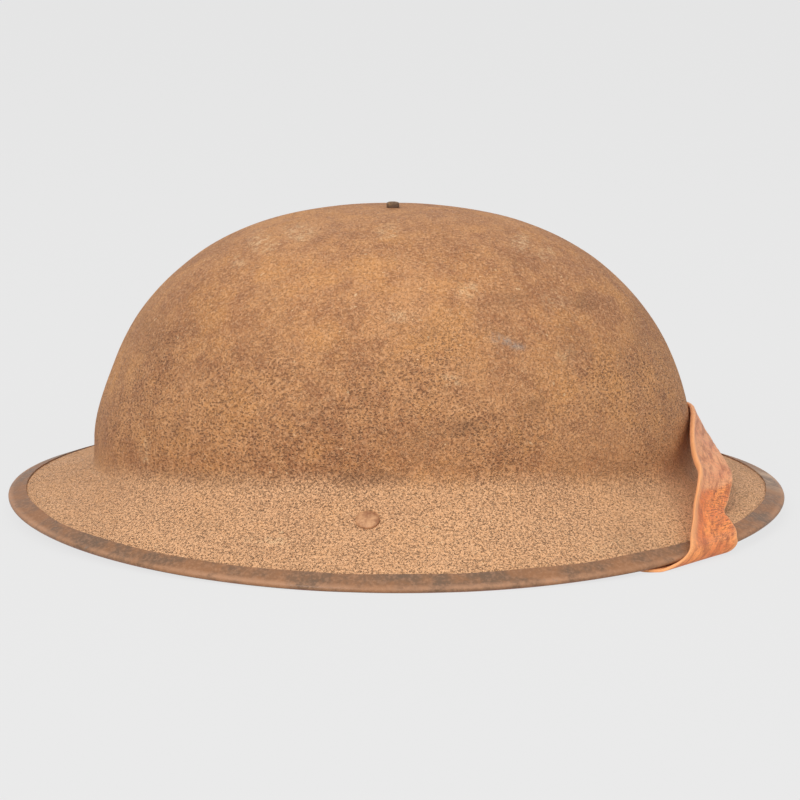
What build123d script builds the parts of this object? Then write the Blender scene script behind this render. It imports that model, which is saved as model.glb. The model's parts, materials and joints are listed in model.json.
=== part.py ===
from build123d import *
from dataclasses import dataclass
import math
import os

# A steel "soup bowl" helmet of the First World War pattern, standing on its rim.
# X runs along the helmet with the draped chin strap at +X, Y runs across it, Z is up.
# Z = 0 is the surface that it stands on, where the rim is worn flat at the two sides.
# All sizes are in millimetres and all angles in degrees.

# Pressed shell
dome_half_length = 115.8
dome_half_width = 103.0
end_brim = 37.2
side_brim = 43.0
shell_height = 117.2
shell_wall = 1.0
end_rise = 4.6
end_fullness_share = 2.44
side_fullness_share = 2.5
end_slope_angle = 16.2
side_slope_angle = 33.0
end_flare = 11.5
side_flare = 13.0
crown_set_back = 1.8

# Binding folded round the raw edge
binding_strip = 0.55
binding_leg = 6.4
binding_slack = 0.1
binding_joint = 0.7
binding_joint_angle = 9.5
rest_wear = 0.15

# Clearances
fit = 0.3
close_fit = 0.1
overrun = 4.0

# Crown: rivet, cushion, washer and pad
crown_shank_radius = 1.6
crown_stub = 5.0
crown_stub_height = 2.2
crown_stub_corner = 0.7
crown_tail_radius = 3.2
crown_tail_height = 1.0
cushion_radius = 21.0
cushion_thickness = 5.0
washer_radius = 8.0
washer_thickness = 0.8
pad_radius = 36.0
pad_edge = 3.6
pad_crown = 3.2
pad_corner = 1.6
pad_gap = 1.2

# Liner band, hoop and rubber tubes, with levels as shares of the shell's height
band_low_share = 0.324
band_high_share = 0.58
band_thickness = 1.2
hoop_low_share = 0.392
hoop_high_share = 0.495
hoop_thickness = 0.4
tube_radius = 5.5
tube_bore_radius = 3.0
tube_bow = 1.5
tube_count = 12
tube_rivet_head_radius = 3.0
tube_rivet_head = 0.8
tube_rivet_taper_angle = 25
tube_rivet_radius = 1.1
tube_rivet_spread_radius = 2.2
tube_rivet_spread = 0.5

# Cloth cap, twine net and draw cord
cap_thickness = 0.8
cap_overlap = 6.0
net_thickness = 1.6
net_low_share = 0.35
net_drop = 23.0
net_mouth_radius = 20.0
draw_cord_diameter = 2.4

# Bracket, its rivet and washer, and the wire bail on each side
bracket_set_back = 10.0
bracket_brim_share = 0.23
bracket_width = 12.0
bracket_strip = 1.0
bracket_outer = 6.5
bracket_inner = 8.0
bail_wire = 2.5
bail_slack = 0.1
plate_gap = 0.25
bail_half_width = 14.0
bail_length = 27.0
bail_corner = 3.0
near_bail_angle = 42.0
far_bail_angle = 164.0
rivet_head_radius = 4.3
rivet_head_height = 1.7
rivet_edge_height = 0.4
rivet_radius = 2.0
rivet_tail_radius = 3.1
rivet_tail_height = 0.9
burr_radius = 4.6
burr_thickness = 0.6

# Chin strap
strap_width = 20.0
strap_thickness = 1.8
strap_skived = 1.5
strap_leg_offset = 14.0
strap_turned_end = 15.0
strap_settle = 9.0
strap_clear_angle = 34.2
strap_far_angle = 45.3
strap_lean_angle = 4.0
strap_fold_reach = 8.0
strap_rim_gap = 0.85
strap_pressed = 1.2
strap_front_height = 42.0
strap_front_tilt = 24.0
strap_bow = 8.0
strap_bow_forward_share = 0.3
strap_run = 52.0
strap_run_fall = 10.0

# Slide buckle
buckle_length = 24.0
buckle_bar = 1.6
buckle_place = 26.0
buckle_corner = 2.4

# How finely curves are drawn
ring_points = 24
dome_steps = 10
bend_steps = 4
rivet_sides = 8
shank_sides = 6
wire_sides = 10
tangent_step_angle = 0.5
quarter_turn = 90
under_brim_shares = (0.35, 0.7)
front_shares = (0.2, 0.4, 0.6, 0.8)


@dataclass(frozen=True)
class Outline:
    """The shell's outer line in one upright plane, from the crown down to the rim.

    A station of 0 to 1 runs down the dome, 1 to 2 round the flare and 2 to 3 out along the brim.
    """

    reach: float
    dome: float
    fullness: float
    slope: float
    flare: float
    lift: float

    def rim(self, inward, up):
        """A point beside the rim's edge line, measured along the brim and square to it."""
        slope = math.radians(self.slope)
        edge = self.reach - edge_radius
        height = edge_radius - rest_wear + self.lift
        r = edge - inward * math.cos(slope) + up * math.sin(slope)
        return r, height + inward * math.sin(slope) + up * math.cos(slope)

    def turn_of_flare(self):
        """How far the flare's arc turns, from the upright wall to the brim's slope."""
        return math.radians(quarter_turn - self.slope)

    def flare_end(self):
        """Radius at which the flare meets the straight brim."""
        return self.dome + self.flare - self.flare * math.cos(self.turn_of_flare())

    def foot(self):
        """Height at which the dome's wall stands upright and the flare begins."""
        end_r, end_z = self.rim(0, shell_wall / 2)
        rise = (end_r - self.flare_end()) * math.tan(math.radians(self.slope))
        return end_z + rise + self.flare * math.sin(self.turn_of_flare())

    def station_at_level(self, level):
        """The dome station whose outer point lies at this height."""
        share = (level - self.foot()) / (shell_height - self.foot())
        return 1 - math.asin(share) / (math.pi / 2)

    def station_at_radius(self, radius):
        """The dome station whose outer point lies at this radius."""
        share = (radius / self.dome) ** (self.fullness / 2)
        return 1 - math.acos(share) / (math.pi / 2)

    def at(self, station, depth=0.0):
        """Radius and height of the point this deep under the outer surface."""
        if station <= 1:
            return self.on_dome(station, depth)
        if station <= 2:
            turn = (station - 1) * self.turn_of_flare()
            arc = self.flare + depth
            return self.dome + self.flare - arc * math.cos(turn), self.foot() - arc * math.sin(turn)
        length = (self.rim(0, 0)[0] - self.flare_end()) / math.cos(math.radians(self.slope))
        return self.rim((3 - station) * length, shell_wall / 2 - depth)

    def on_dome(self, station, depth):
        """The dome is a superellipse: its radius has the fullness as exponent, its height 2."""
        rise = shell_height - self.foot()
        angle = math.pi / 2 * (1 - station)
        r = self.dome * max(math.cos(angle), 0) ** (2 / self.fullness)
        z = rise * math.sin(angle)
        across = self.fullness / self.dome * (r / self.dome) ** (self.fullness - 1)
        upward = 2 * z / rise**2
        size = math.hypot(across, upward)
        return r - depth * across / size, self.foot() + z - depth * upward / size


edge_radius = shell_wall / 2 + binding_slack + binding_strip
half_length = dome_half_length + end_brim
half_width = dome_half_width + side_brim
band_low = shell_height * band_low_share
band_high = shell_height * band_high_share
hoop_low = shell_height * hoop_low_share
hoop_high = shell_height * hoop_high_share
net_low = shell_height * net_low_share
ends = Outline(half_length, dome_half_length, end_fullness_share, end_slope_angle, end_flare, end_rise)
sides = Outline(half_width, dome_half_width, side_fullness_share, side_slope_angle, side_flare, 0)


def blend(end_point, side_point, angle):
    """The point at this angle of the ring that passes through an end point and a side point."""
    c = math.cos(math.radians(angle))
    s = math.sin(math.radians(angle))
    z = end_point[1] * c**2 + side_point[1] * s**2
    return Vector(end_point[0] * c - crown_set_back * z / shell_height, side_point[0] * s, z)


def skin(station, depth, angle):
    """A point of the helmet's wall by station, depth and angle."""
    return blend(ends.at(station, depth), sides.at(station, depth), angle)


def dome_spot(level, depth, angle):
    """A point under the dome's wall, where the outer surface stands at the given height."""
    end_point = ends.at(ends.station_at_level(level), depth)
    return blend(end_point, sides.at(sides.station_at_level(level), depth), angle)


def rim_spot(inward, up, angle):
    """A point near the rim's edge."""
    return blend(ends.rim(inward, up), sides.rim(inward, up), angle)


def spaced(first, last, count):
    """Evenly spaced values from first to last."""
    return [first + (last - first) * i / count for i in range(count + 1)]


def smooth_ring(spot):
    """A closed smooth wire through the points that spot gives for evenly spaced angles."""
    points = [spot(angle) for angle in spaced(0, 4 * quarter_turn, ring_points)[:-1]]
    return Wire([Edge.make_spline(points, periodic=True)])


def skin_ring(station, depth):
    """A ring of the helmet's wall at a station."""
    return smooth_ring(lambda angle: skin(station, depth, angle))


def closed_sheet(*strips):
    """A solid closed by strips of surface, each a list of wires and whether it is ruled."""
    faces = [face for wires, ruled in strips for face in Shell.make_loft(wires, ruled).faces()]
    solid = Solid(Shell(Face.sew_faces(faces)[0]))
    return solid if solid.volume > 0 else Solid(Shell(Face.sew_faces([-face for face in faces])[0]))


def save(node, *solids):
    """Write one node's solids to its own file."""
    export_step(Compound(children=[s for part in solids for s in part.solids()]), f"parts/{node}.step")


def turned(points):
    """A solid turned about Z from a half profile of radius and height points."""
    return revolve(Plane.XZ * make_face(Polyline(*points, close=True)), Axis.Z)


def domed(radius, base, rise):
    """Half-profile points of a low dome, from its edge up or down to its middle."""
    turns = spaced(0, math.pi / 2, bend_steps + 1)
    return [(radius * max(math.cos(t), 0), base + rise * math.sin(t)) for t in turns]


def shell_skin(depth):
    """The rings of one face of the shell: the dome, the flare and the brim."""
    hole = [line.at(line.station_at_radius(crown_shank_radius + close_fit), depth) for line in (ends, sides)]
    start = smooth_ring(lambda angle: blend(*hole, angle))
    dome = [start] + [skin_ring(station, depth) for station in spaced(0, 1, dome_steps)[1:]]
    flare = [dome[-1]] + [skin_ring(station, depth) for station in spaced(1, 2, bend_steps)[1:]]
    bound = smooth_ring(lambda angle: rim_spot(binding_leg + fit, shell_wall / 2 - depth, angle))
    return dome, flare, [flare[-1], bound, skin_ring(3, depth)]


def make_shell():
    """The pressed shell: two skins closed at the crown hole and the rim, with two rivet holes."""
    outer = shell_skin(0)
    inner = shell_skin(shell_wall)
    wall = closed_sheet(
        (outer[0], False),
        (outer[1], False),
        (outer[2], True),
        (inner[0], False),
        (inner[1], False),
        (inner[2], True),
        ([outer[0][0], inner[0][0]], True),
        ([outer[2][-1], inner[2][-1]], True),
    )
    for plane in (near_bracket_plane, far_bracket_plane):
        hole = Cylinder(rivet_radius + close_fit, 2 * (shell_wall + overrun))
        wall = wall - plane.location * hole
    return wall


def bend_rings(radius):
    """Rings round the binding's bend, from its top to its underside."""
    turns = spaced(math.pi / 2, -math.pi / 2, bend_steps)
    return [
        smooth_ring(lambda a, t=t: rim_spot(-radius * math.cos(t), radius * math.sin(t), a)) for t in turns
    ]


def make_binding():
    """A folded strip: a leg above the brim, a round bend outside it and a leg below.

    Its two ends meet at the front, and its lowest places at the sides are worn flat.
    """
    inner_radius = shell_wall / 2 + binding_slack
    outer_bend = bend_rings(edge_radius)
    inner_bend = bend_rings(inner_radius)
    legs = {}
    for name, radius in (("outer", edge_radius), ("inner", inner_radius)):
        for side in (1, -1):
            legs[name, side] = smooth_ring(lambda a, r=radius, s=side: rim_spot(binding_leg, s * r, a))
    band = closed_sheet(
        ([legs["outer", 1], outer_bend[0]], True),
        (outer_bend, False),
        ([outer_bend[-1], legs["outer", -1]], True),
        ([legs["inner", 1], inner_bend[0]], True),
        (inner_bend, False),
        ([inner_bend[-1], legs["inner", -1]], True),
        ([legs["outer", 1], legs["inner", 1]], True),
        ([legs["outer", -1], legs["inner", -1]], True),
    )
    across = 2 * (binding_leg + overrun)
    place = Location(rim_spot(0, 0, binding_joint_angle), (0, 0, binding_joint_angle))
    worn = Pos(0, 0, -overrun / 2) * Box(2 * half_length, 2 * half_width, overrun)
    return band - place * Box(across, binding_joint, across) - worn


def crown_place(z):
    """A place on the crown rivet's line at this height."""
    return Location((-crown_set_back, 0, z))


def lowest(radius, depth):
    """Height under the crown, at this radius, of the lower of the two outlines."""
    return min(line.at(line.station_at_radius(radius), depth)[1] for line in (ends, sides))


cushion_top = lowest(cushion_radius, shell_wall) - fit
cap_depth = shell_height - cushion_top + cushion_thickness + fit
washer_top = lowest(washer_radius, cap_depth + cap_thickness) - fit
pad_top = lowest(pad_radius, cap_depth + cap_thickness) - pad_gap
hoop_depth = shell_wall + fit + 2 * tube_radius + tube_bow + close_fit
band_depth = hoop_depth + hoop_thickness + close_fit
net_depth = band_depth + band_thickness + tube_rivet_head + 2 * fit
cap_low = band_high - cap_overlap


def make_crown_rivet():
    """A square-shanked stub above the shell, a shank and a clinched tail under the washer."""
    tail_top = washer_top - washer_thickness - close_fit
    stub = extrude(RectangleRounded(crown_stub, crown_stub, crown_stub_corner), crown_stub_height)
    stub = crown_place(shell_height + close_fit) * stub
    reach = shell_height + close_fit - tail_top
    shank = crown_place(tail_top + reach / 2) * Cylinder(crown_shank_radius, reach)
    tail = crown_place(tail_top - crown_tail_height / 2) * Cylinder(crown_tail_radius, crown_tail_height)
    return stub + shank + tail


def make_crown_disc(radius, thickness, top):
    """A disc under the crown with a hole for the rivet."""
    disc = Cylinder(radius, thickness) - Cylinder(crown_shank_radius + close_fit, thickness + overrun)
    return crown_place(top - thickness / 2) * disc


def make_crown_pad():
    """A felt pad with a flat top and a crowned underside."""
    top = [(0, 0), (pad_radius - pad_corner, 0), (pad_radius, -pad_corner)]
    return crown_place(pad_top) * turned(top + domed(pad_radius, -pad_edge, -pad_crown))


def dome_band(low, high, depth, thickness):
    """A band of smooth rings, parallel to the dome's wall."""
    levels = (low, (low + high) / 2, high)
    outer = [smooth_ring(lambda a, z=z: dome_spot(z, depth, a)) for z in levels]
    inner = [smooth_ring(lambda a, z=z: dome_spot(z, depth + thickness, a)) for z in levels]
    return closed_sheet(
        (outer, True), (inner, True), ([outer[0], inner[0]], True), ([outer[-1], inner[-1]], True)
    )


def hung_dome(mouth, low, crown_depth, wall_depth, thickness, straight):
    """A thin dome that hangs under the shell.

    It starts at a round mouth in the crown, sinks from crown_depth to wall_depth as it comes
    down to the height straight, and then follows the wall down to the height low.
    """

    def spot(line, share, extra):
        start = line.station_at_radius(mouth)
        station = start + (line.station_at_level(straight) - start) * share
        return line.at(station, crown_depth + (wall_depth - crown_depth) * share**2 + extra)

    def rings(extra):
        pairs = [[spot(line, share, extra) for line in (ends, sides)] for share in spaced(0, 1, dome_steps)]
        dome = [smooth_ring(lambda a, p=pair: blend(*p, a)) for pair in pairs]
        return dome + [smooth_ring(lambda a: dome_spot(low, wall_depth + extra, a))]

    outer = rings(0)
    inner = rings(thickness)
    return closed_sheet(
        (outer, True), (inner, True), ([outer[0], inner[0]], True), ([outer[-1], inner[-1]], True)
    )


def tube_axis(angle):
    """The lower and upper ends of a rubber tube's centre line."""
    depth = shell_wall + fit + tube_radius
    return dome_spot(band_low, depth, angle), dome_spot(band_high, depth, angle)


def make_tube(angle):
    """A short rubber tube that stands between the band and the shell."""
    low, high = tube_axis(angle)
    plane = Plane((low + high) * 0.5, z_dir=high - low)
    length = (high - low).length
    return plane.location * (Cylinder(tube_radius, length) - Cylinder(tube_bore_radius, length + overrun))


def rivet_plane(angle):
    """A plane on the band's inner face with its normal pointing into the head space."""
    level = (hoop_low + hoop_high) / 2
    inside = dome_spot(level, band_depth + band_thickness, angle)
    outside = dome_spot(level, shell_wall, angle)
    return Plane(inside, z_dir=inside - outside)


def tube_rivet_reach():
    """How far a tube's rivet runs from the band's inner face into the tube's bore."""
    wall = tube_radius - tube_bore_radius
    return band_thickness + hoop_thickness + tube_bow + wall + 3 * close_fit


def make_tube_rivet(angle):
    """A split rivet: a low head on the band, a shank and its spread legs in the tube's bore."""
    reach = tube_rivet_reach() + close_fit
    base = fit + close_fit
    rim = RegularPolygon(tube_rivet_head_radius, rivet_sides)
    head = Pos(0, 0, base) * extrude(rim, tube_rivet_head, taper=tube_rivet_taper_angle)
    shank = extrude(RegularPolygon(tube_rivet_radius, shank_sides), -reach - base)
    spread = extrude(RegularPolygon(tube_rivet_spread_radius, shank_sides), -tube_rivet_spread)
    return rivet_plane(angle).location * (head + Pos(0, 0, base) * shank + Pos(0, 0, -reach) * spread)


def rivet_hole(angle):
    """The hole for a tube's rivet through the band, the hoop and the tube's wall."""
    drill = Cylinder(tube_rivet_radius + close_fit, 2 * tube_rivet_reach())
    return rivet_plane(angle).location * drill


def bracket_plane(side):
    """A plane on the shell's underside at the bracket's rivet, X along the bail's hinge."""
    station = 2 + bracket_brim_share
    angle = side * (quarter_turn + math.degrees(math.asin(bracket_set_back / ends.at(station)[0])))
    spot = skin(station, shell_wall, angle)
    ahead = skin(station, shell_wall, angle + tangent_step_angle)
    along = (ahead - skin(station, shell_wall, angle - tangent_step_angle)) * -side
    along = Vector(along.X, along.Y, 0).normalized()
    out = skin(station, 0, angle) - spot
    out = (out - along * out.dot(along)).normalized()
    return Plane(spot, x_dir=along, z_dir=out)


near_bracket_plane = bracket_plane(-1)
far_bracket_plane = bracket_plane(1)
knuckle_radius = bail_wire / 2 + bail_slack + bracket_strip


def inboard(side):
    """Local Y points up towards the dome on the near side and down from it on the far side."""
    return -side


def hinge_place(side):
    """The bail's hinge line in the bracket's own plane: its Y and Z."""
    return inboard(side) * bracket_inner, -plate_gap - knuckle_radius


def make_bracket(side):
    """A strip riveted flat under the brim, with its inner end rolled round the bail."""
    y, z = hinge_place(side)
    plate_outer = -inboard(side) * bracket_outer
    with BuildPart() as bracket:
        with BuildSketch(Plane.YZ):
            with Locations(((y + plate_outer) / 2, -plate_gap - bracket_strip / 2)):
                Rectangle(abs(y - plate_outer), bracket_strip)
            with Locations((y, z)):
                Circle(knuckle_radius)
                Circle(bail_wire / 2 + bail_slack, mode=Mode.SUBTRACT)
        extrude(amount=bracket_width / 2, both=True)
        Cylinder(rivet_radius + close_fit, 2 * overrun, mode=Mode.SUBTRACT)
    plane = near_bracket_plane if side < 0 else far_bracket_plane
    return plane.location * bracket.part


def make_bracket_rivet(side):
    """A low round head outside the shell, a shank and a tail under the washer."""
    plane = near_bracket_plane if side < 0 else far_bracket_plane
    head_base = shell_wall + close_fit
    tail_top = -plate_gap - bracket_strip - burr_thickness - 2 * close_fit
    points = [(0, tail_top - rivet_tail_height), (rivet_tail_radius, tail_top - rivet_tail_height)]
    points += [(rivet_tail_radius, tail_top), (rivet_radius, tail_top), (rivet_radius, head_base)]
    points += [(rivet_head_radius, head_base)]
    points += domed(rivet_head_radius, head_base + rivet_edge_height, rivet_head_height - rivet_edge_height)
    return plane.location * turned(points)


def make_burr(side):
    """The washer between the bracket and the rivet's tail."""
    plane = near_bracket_plane if side < 0 else far_bracket_plane
    disc = Cylinder(burr_radius, burr_thickness) - Cylinder(rivet_radius + close_fit, overrun)
    return plane.location * (Pos(0, 0, -plate_gap - close_fit - bracket_strip - burr_thickness / 2) * disc)


def bail_plane(side, angle):
    """A plane at the hinge: X along the hinge, Y down the bail's legs, Z square to both.

    The angle is 0 where the legs point straight out, 90 where they hang and 180 straight in.
    """
    plane = near_bracket_plane if side < 0 else far_bracket_plane
    hinge = plane.from_local_coords((0, *hinge_place(side)))
    along = plane.x_dir
    out = Vector(along.Y, -along.X, 0) * -side
    turn = math.radians(angle)
    legs = out * math.cos(turn) + Vector(0, 0, -math.sin(turn))
    return Plane(hinge, x_dir=along, z_dir=along.cross(legs))


def make_bail(side, angle):
    """A closed wire loop whose near bar turns in the bracket's knuckle."""
    path = RectangleRounded(2 * bail_half_width, bail_length, bail_corner).wire()
    path = Pos(0, bail_length / 2, 0) * path
    start = path.edges()[0]
    section = Plane(start @ 0, z_dir=start % 0) * RegularPolygon(bail_wire / 2, wire_sides)
    return bail_plane(side, angle).location * sweep(section, path)


def strap_section(near_edge, far_edge, normal, thickness):
    """One rectangle across the strap, given its two edges' middles and its face's normal."""
    half = normal.normalized() * (thickness / 2)
    return Wire.make_polygon([near_edge + half, far_edge + half, far_edge - half, near_edge - half])


def leg_frame(side, angle):
    """A plane at the strap's place on the bail's front leg: X along the strap, Z its face.

    On the far side the strap leaves the leg along a line that falls towards the rim.
    """
    plane = bail_plane(side, angle)
    centre = plane.from_local_coords((bail_half_width, strap_leg_offset, 0))
    upward = plane.z_dir if plane.z_dir.Z > 0 else -plane.z_dir
    forward = plane.x_dir
    if side > 0:
        fall = math.radians(strap_run_fall)
        forward, upward = (
            forward * math.cos(fall) - upward * math.sin(fall),
            upward * math.cos(fall) + forward * math.sin(fall),
        )
    return Plane(centre, x_dir=forward, z_dir=upward)


loop_radius = bail_wire / 2 + close_fit + strap_skived / 2
buckle_wrap = buckle_bar / 2 + close_fit + strap_skived / 2
layer_step = (strap_thickness + strap_skived) / 2 + fit


def run_section(frame, side, along, up, lean, thickness):
    """A section of the strap's straight run, in the frame of the bail's leg.

    lean is the direction of the strap's line there, in degrees above the frame's X.
    """
    turn = math.radians(lean)
    normal = frame.x_dir * -math.sin(turn) + frame.z_dir * math.cos(turn)
    middle = frame.from_local_coords((along, 0, up))
    outward = frame.y_dir if frame.y_dir.Y * side > 0 else -frame.y_dir
    return middle - outward * (strap_width / 2), middle + outward * (strap_width / 2), normal, thickness


def near_leg_sections(frame):
    """The turned-back end, the turn round the bail's leg and the start of the run."""
    upper = strap_skived / 2 + close_fit / 2
    lower = -upper - (strap_thickness - strap_skived) / 2
    sections = [run_section(frame, -1, strap_turned_end, upper, 0, strap_skived)]
    sections.append(run_section(frame, -1, strap_settle, upper, 0, strap_skived))
    for turn in spaced(quarter_turn, 3 * quarter_turn, bend_steps):
        x = loop_radius * math.cos(math.radians(turn))
        z = loop_radius * math.sin(math.radians(turn))
        sections.append(run_section(frame, -1, x, z, turn - quarter_turn, strap_skived))
    back = 2 * quarter_turn
    sections.append(run_section(frame, -1, strap_settle, lower, back, strap_skived))
    sections.append(run_section(frame, -1, strap_turned_end, lower, back, strap_thickness))
    return sections


def far_leg_sections(frame):
    """The straight run through the buckle, the turn round the leg and the turned-back layer.

    The run lies at height 0 of the frame raised by half a layer step, and the layer that comes
    back from the leg lies a step lower and is folded round the buckle's middle bar.
    """
    run = layer_step / 2
    returned = run - layer_step
    bar = returned - buckle_wrap
    back = 2 * quarter_turn
    sections = [run_section(frame, 1, strap_run, run, back, strap_thickness)]
    sections.append(run_section(frame, 1, strap_settle, run, back, strap_thickness))
    for turn in spaced(quarter_turn, 3 * quarter_turn, bend_steps):
        x = loop_radius * math.cos(math.radians(turn))
        z = loop_radius * math.sin(math.radians(turn))
        sections.append(run_section(frame, 1, x, z, turn + quarter_turn, strap_skived))
    sections.append(run_section(frame, 1, strap_settle, returned, 0, strap_skived))
    for turn in spaced(quarter_turn, -quarter_turn, bend_steps):
        x = buckle_place + buckle_wrap * math.cos(math.radians(turn))
        z = bar + buckle_wrap * math.sin(math.radians(turn))
        sections.append(run_section(frame, 1, x, z, turn - quarter_turn, strap_skived))
    joined = returned - strap_skived - close_fit
    sections.append(run_section(frame, 1, buckle_place - strap_settle, joined, back, strap_skived))
    sections.append(run_section(frame, 1, buckle_place - strap_turned_end, joined, back, strap_skived))
    return sections


def rim_sections(side):
    """The sections that fold the strap over the rim, from under the brim to above it."""
    radius = edge_radius + strap_rim_gap + strap_pressed / 2
    sections = []
    places = [(strap_fold_reach, -quarter_turn, strap_lean_angle)]
    places += [(0, turn, 0) for turn in spaced(-quarter_turn, quarter_turn, bend_steps + 2)]
    places += [(strap_fold_reach, quarter_turn, -strap_lean_angle)]
    for inward, turn, lean in places:
        out = radius * math.cos(math.radians(turn))
        up = radius * math.sin(math.radians(turn))
        angles = [side * (angle + lean) for angle in (strap_clear_angle, strap_far_angle)]
        edges = [rim_spot(inward - out, up, angle) for angle in angles]
        cores = [rim_spot(inward, 0, angle) for angle in angles]
        normal = (edges[0] + edges[1] - cores[0] - cores[1]).normalized()
        sections.append((edges[0], edges[1], normal, strap_pressed))
    return sections


def front_section():
    """The strap where it crosses the front of the dome, its upper edge against the wall."""
    upper = dome_spot(strap_front_height, -fit - strap_thickness / 2, 0)
    tilt = math.radians(strap_front_tilt)
    lower = upper + Vector(math.sin(tilt), 0, -math.cos(tilt)) * strap_width
    return lower, upper, Vector(math.cos(tilt), 0, math.sin(tilt)), strap_thickness


def between(first, last, shares, bow=0.0):
    """Sections between two others, bowed upwards between them."""
    sections = []
    for share in shares:
        lift = Vector(strap_bow_forward_share, 0, 1) * (bow * math.sin(math.pi * share))
        edges = [first[i] + (last[i] - first[i]) * share + lift for i in (0, 1)]
        normal = first[2] * (1 - share) + last[2] * share
        sections.append((edges[0], edges[1], normal, first[3] + (last[3] - first[3]) * share))
    return sections


def strap_sections(near_frame, far_frame):
    """All sections: near bail, under the brim, over the rim, across the front and back."""
    near_leg = near_leg_sections(near_frame)
    near_rim = rim_sections(-1)
    front = front_section()
    far_rim = rim_sections(1)[::-1]
    far_leg = far_leg_sections(far_frame)
    sections = near_leg + between(near_leg[-1], near_rim[0], under_brim_shares) + near_rim
    sections += between(near_rim[-1], front, front_shares, strap_bow) + [front]
    sections += between(front, far_rim[0], front_shares, strap_bow) + far_rim
    return sections + between(far_rim[-1], far_leg[0], under_brim_shares) + far_leg


def make_strap():
    """One long leather strap with both ends turned back and sewn."""
    sections = strap_sections(leg_frame(-1, near_bail_angle), leg_frame(1, far_bail_angle))
    return Solid.make_loft([strap_section(*section) for section in sections], ruled=True)


def make_buckle():
    """A wire frame above the strap's run, with a middle bar cranked down under both layers."""
    frame = leg_frame(1, far_bail_angle)
    top = layer_step / 2 + strap_thickness / 2 + fit + buckle_bar / 2
    bar = -layer_step / 2 - buckle_wrap
    width = strap_width + 2 * fit + buckle_bar + 2 * close_fit
    section = RegularPolygon(buckle_bar / 2, rivet_sides)
    path = Pos(buckle_place, 0, top) * RectangleRounded(buckle_length, width, buckle_corner).wire()
    start = path.edges()[0]
    loop = sweep(Plane(start @ 0, z_dir=start % 0) * section, path)
    crank = Pos(0, 0, bar) * extrude(section, top - bar)
    across = Plane.XZ.offset(-width / 2 - buckle_bar / 2) * extrude(section, width + buckle_bar)
    solids = loop
    for side in (1, -1):
        solids += Pos(buckle_place, side * width / 2, 0) * crank
    solids += Pos(buckle_place, 0, bar) * across
    return frame.location * solids


def make_cap():
    """The cloth cap, held at the crown by the rivet and caught outside the band's top."""
    depth = band_depth - fit - cap_thickness
    mouth = crown_shank_radius + fit
    return hung_dome(mouth, cap_low, cap_depth, depth, cap_thickness, band_high)


def make_net():
    """The twine net as one thin dome, open at the top where the draw cord gathers it."""
    return hung_dome(net_mouth_radius, net_low, net_drop, net_depth, net_thickness, band_high)


def make_draw_cord():
    """The cord inside the net's mouth."""
    low_point = lowest(net_mouth_radius, net_drop + net_thickness / 2)
    mouth = sides.at(sides.station_at_radius(net_mouth_radius), net_drop + net_thickness)[0]
    radius = mouth - draw_cord_diameter / 2 - fit
    return crown_place(low_point) * Torus(radius, draw_cord_diameter / 2)


def main():
    """Build every node and write it."""
    os.makedirs("parts", exist_ok=True)
    step = 4 * quarter_turn / tube_count
    angles = spaced(step / 2, 4 * quarter_turn - step / 2, tube_count - 1)
    band = dome_band(band_low, band_high, band_depth, band_thickness)
    hoop = dome_band(hoop_low, hoop_high, hoop_depth, hoop_thickness)
    tubes = [make_tube(angle) for angle in angles]
    holes = [rivet_hole(angle) for angle in angles]
    save("shell", make_shell())
    save("rim_binding", make_binding())
    save("crown_rivet", make_crown_rivet())
    save("crown_cushion", make_crown_disc(cushion_radius, cushion_thickness, cushion_top))
    save("crown_washer", make_crown_disc(washer_radius, washer_thickness, washer_top))
    save("crown_pad", make_crown_pad())
    save("liner_cap", make_cap())
    save("head_band", band - holes)
    save("band_hoop", hoop - holes)
    save("rubber_tubes", *[tube - hole for tube, hole in zip(tubes, holes)])
    save("tube_rivets", *[make_tube_rivet(angle) for angle in angles])
    save("head_net", make_net())
    save("draw_cord", make_draw_cord())
    for side, name, angle in ((-1, "right", near_bail_angle), (1, "left", far_bail_angle)):
        save(f"{name}_bracket", make_bracket(side))
        save(f"{name}_bracket_rivet", make_bracket_rivet(side))
        save(f"{name}_rivet_washer", make_burr(side))
        save(f"{name}_bail", make_bail(side, angle))
    save("chin_strap", make_strap())
    save("slide_buckle", make_buckle())


if __name__ == "__main__":
    main()
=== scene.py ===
import json
import logging
import math
from dataclasses import dataclass, field
from enum import Enum

import bpy
import numpy as np
from mathutils import Matrix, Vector
from mathutils.bvhtree import BVHTree


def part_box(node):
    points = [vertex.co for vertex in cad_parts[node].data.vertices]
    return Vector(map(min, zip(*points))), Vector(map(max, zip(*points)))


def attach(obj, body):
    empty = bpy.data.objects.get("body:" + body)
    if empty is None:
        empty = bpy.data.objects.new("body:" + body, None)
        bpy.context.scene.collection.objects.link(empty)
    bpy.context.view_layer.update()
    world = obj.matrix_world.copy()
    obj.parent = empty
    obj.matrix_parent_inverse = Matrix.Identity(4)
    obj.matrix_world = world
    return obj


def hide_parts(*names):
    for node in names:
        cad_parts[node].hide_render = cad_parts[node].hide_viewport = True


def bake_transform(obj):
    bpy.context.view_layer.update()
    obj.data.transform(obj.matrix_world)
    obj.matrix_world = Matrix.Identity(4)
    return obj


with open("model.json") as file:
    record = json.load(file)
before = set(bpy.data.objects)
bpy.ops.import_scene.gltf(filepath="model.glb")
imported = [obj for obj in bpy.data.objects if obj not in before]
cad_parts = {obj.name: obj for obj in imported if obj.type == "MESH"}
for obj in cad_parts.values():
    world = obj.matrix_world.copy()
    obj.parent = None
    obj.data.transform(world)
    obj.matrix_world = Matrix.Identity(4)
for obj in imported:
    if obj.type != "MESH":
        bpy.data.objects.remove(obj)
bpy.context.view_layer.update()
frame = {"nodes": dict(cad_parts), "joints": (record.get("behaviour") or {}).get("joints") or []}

MM = 0.001
PHOTO_SIZE = 800
# Each wave of a ripple takes a random share of the mean frequency between these two.
RIPPLE_SPREAD = (0.6, 1.5)
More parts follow.
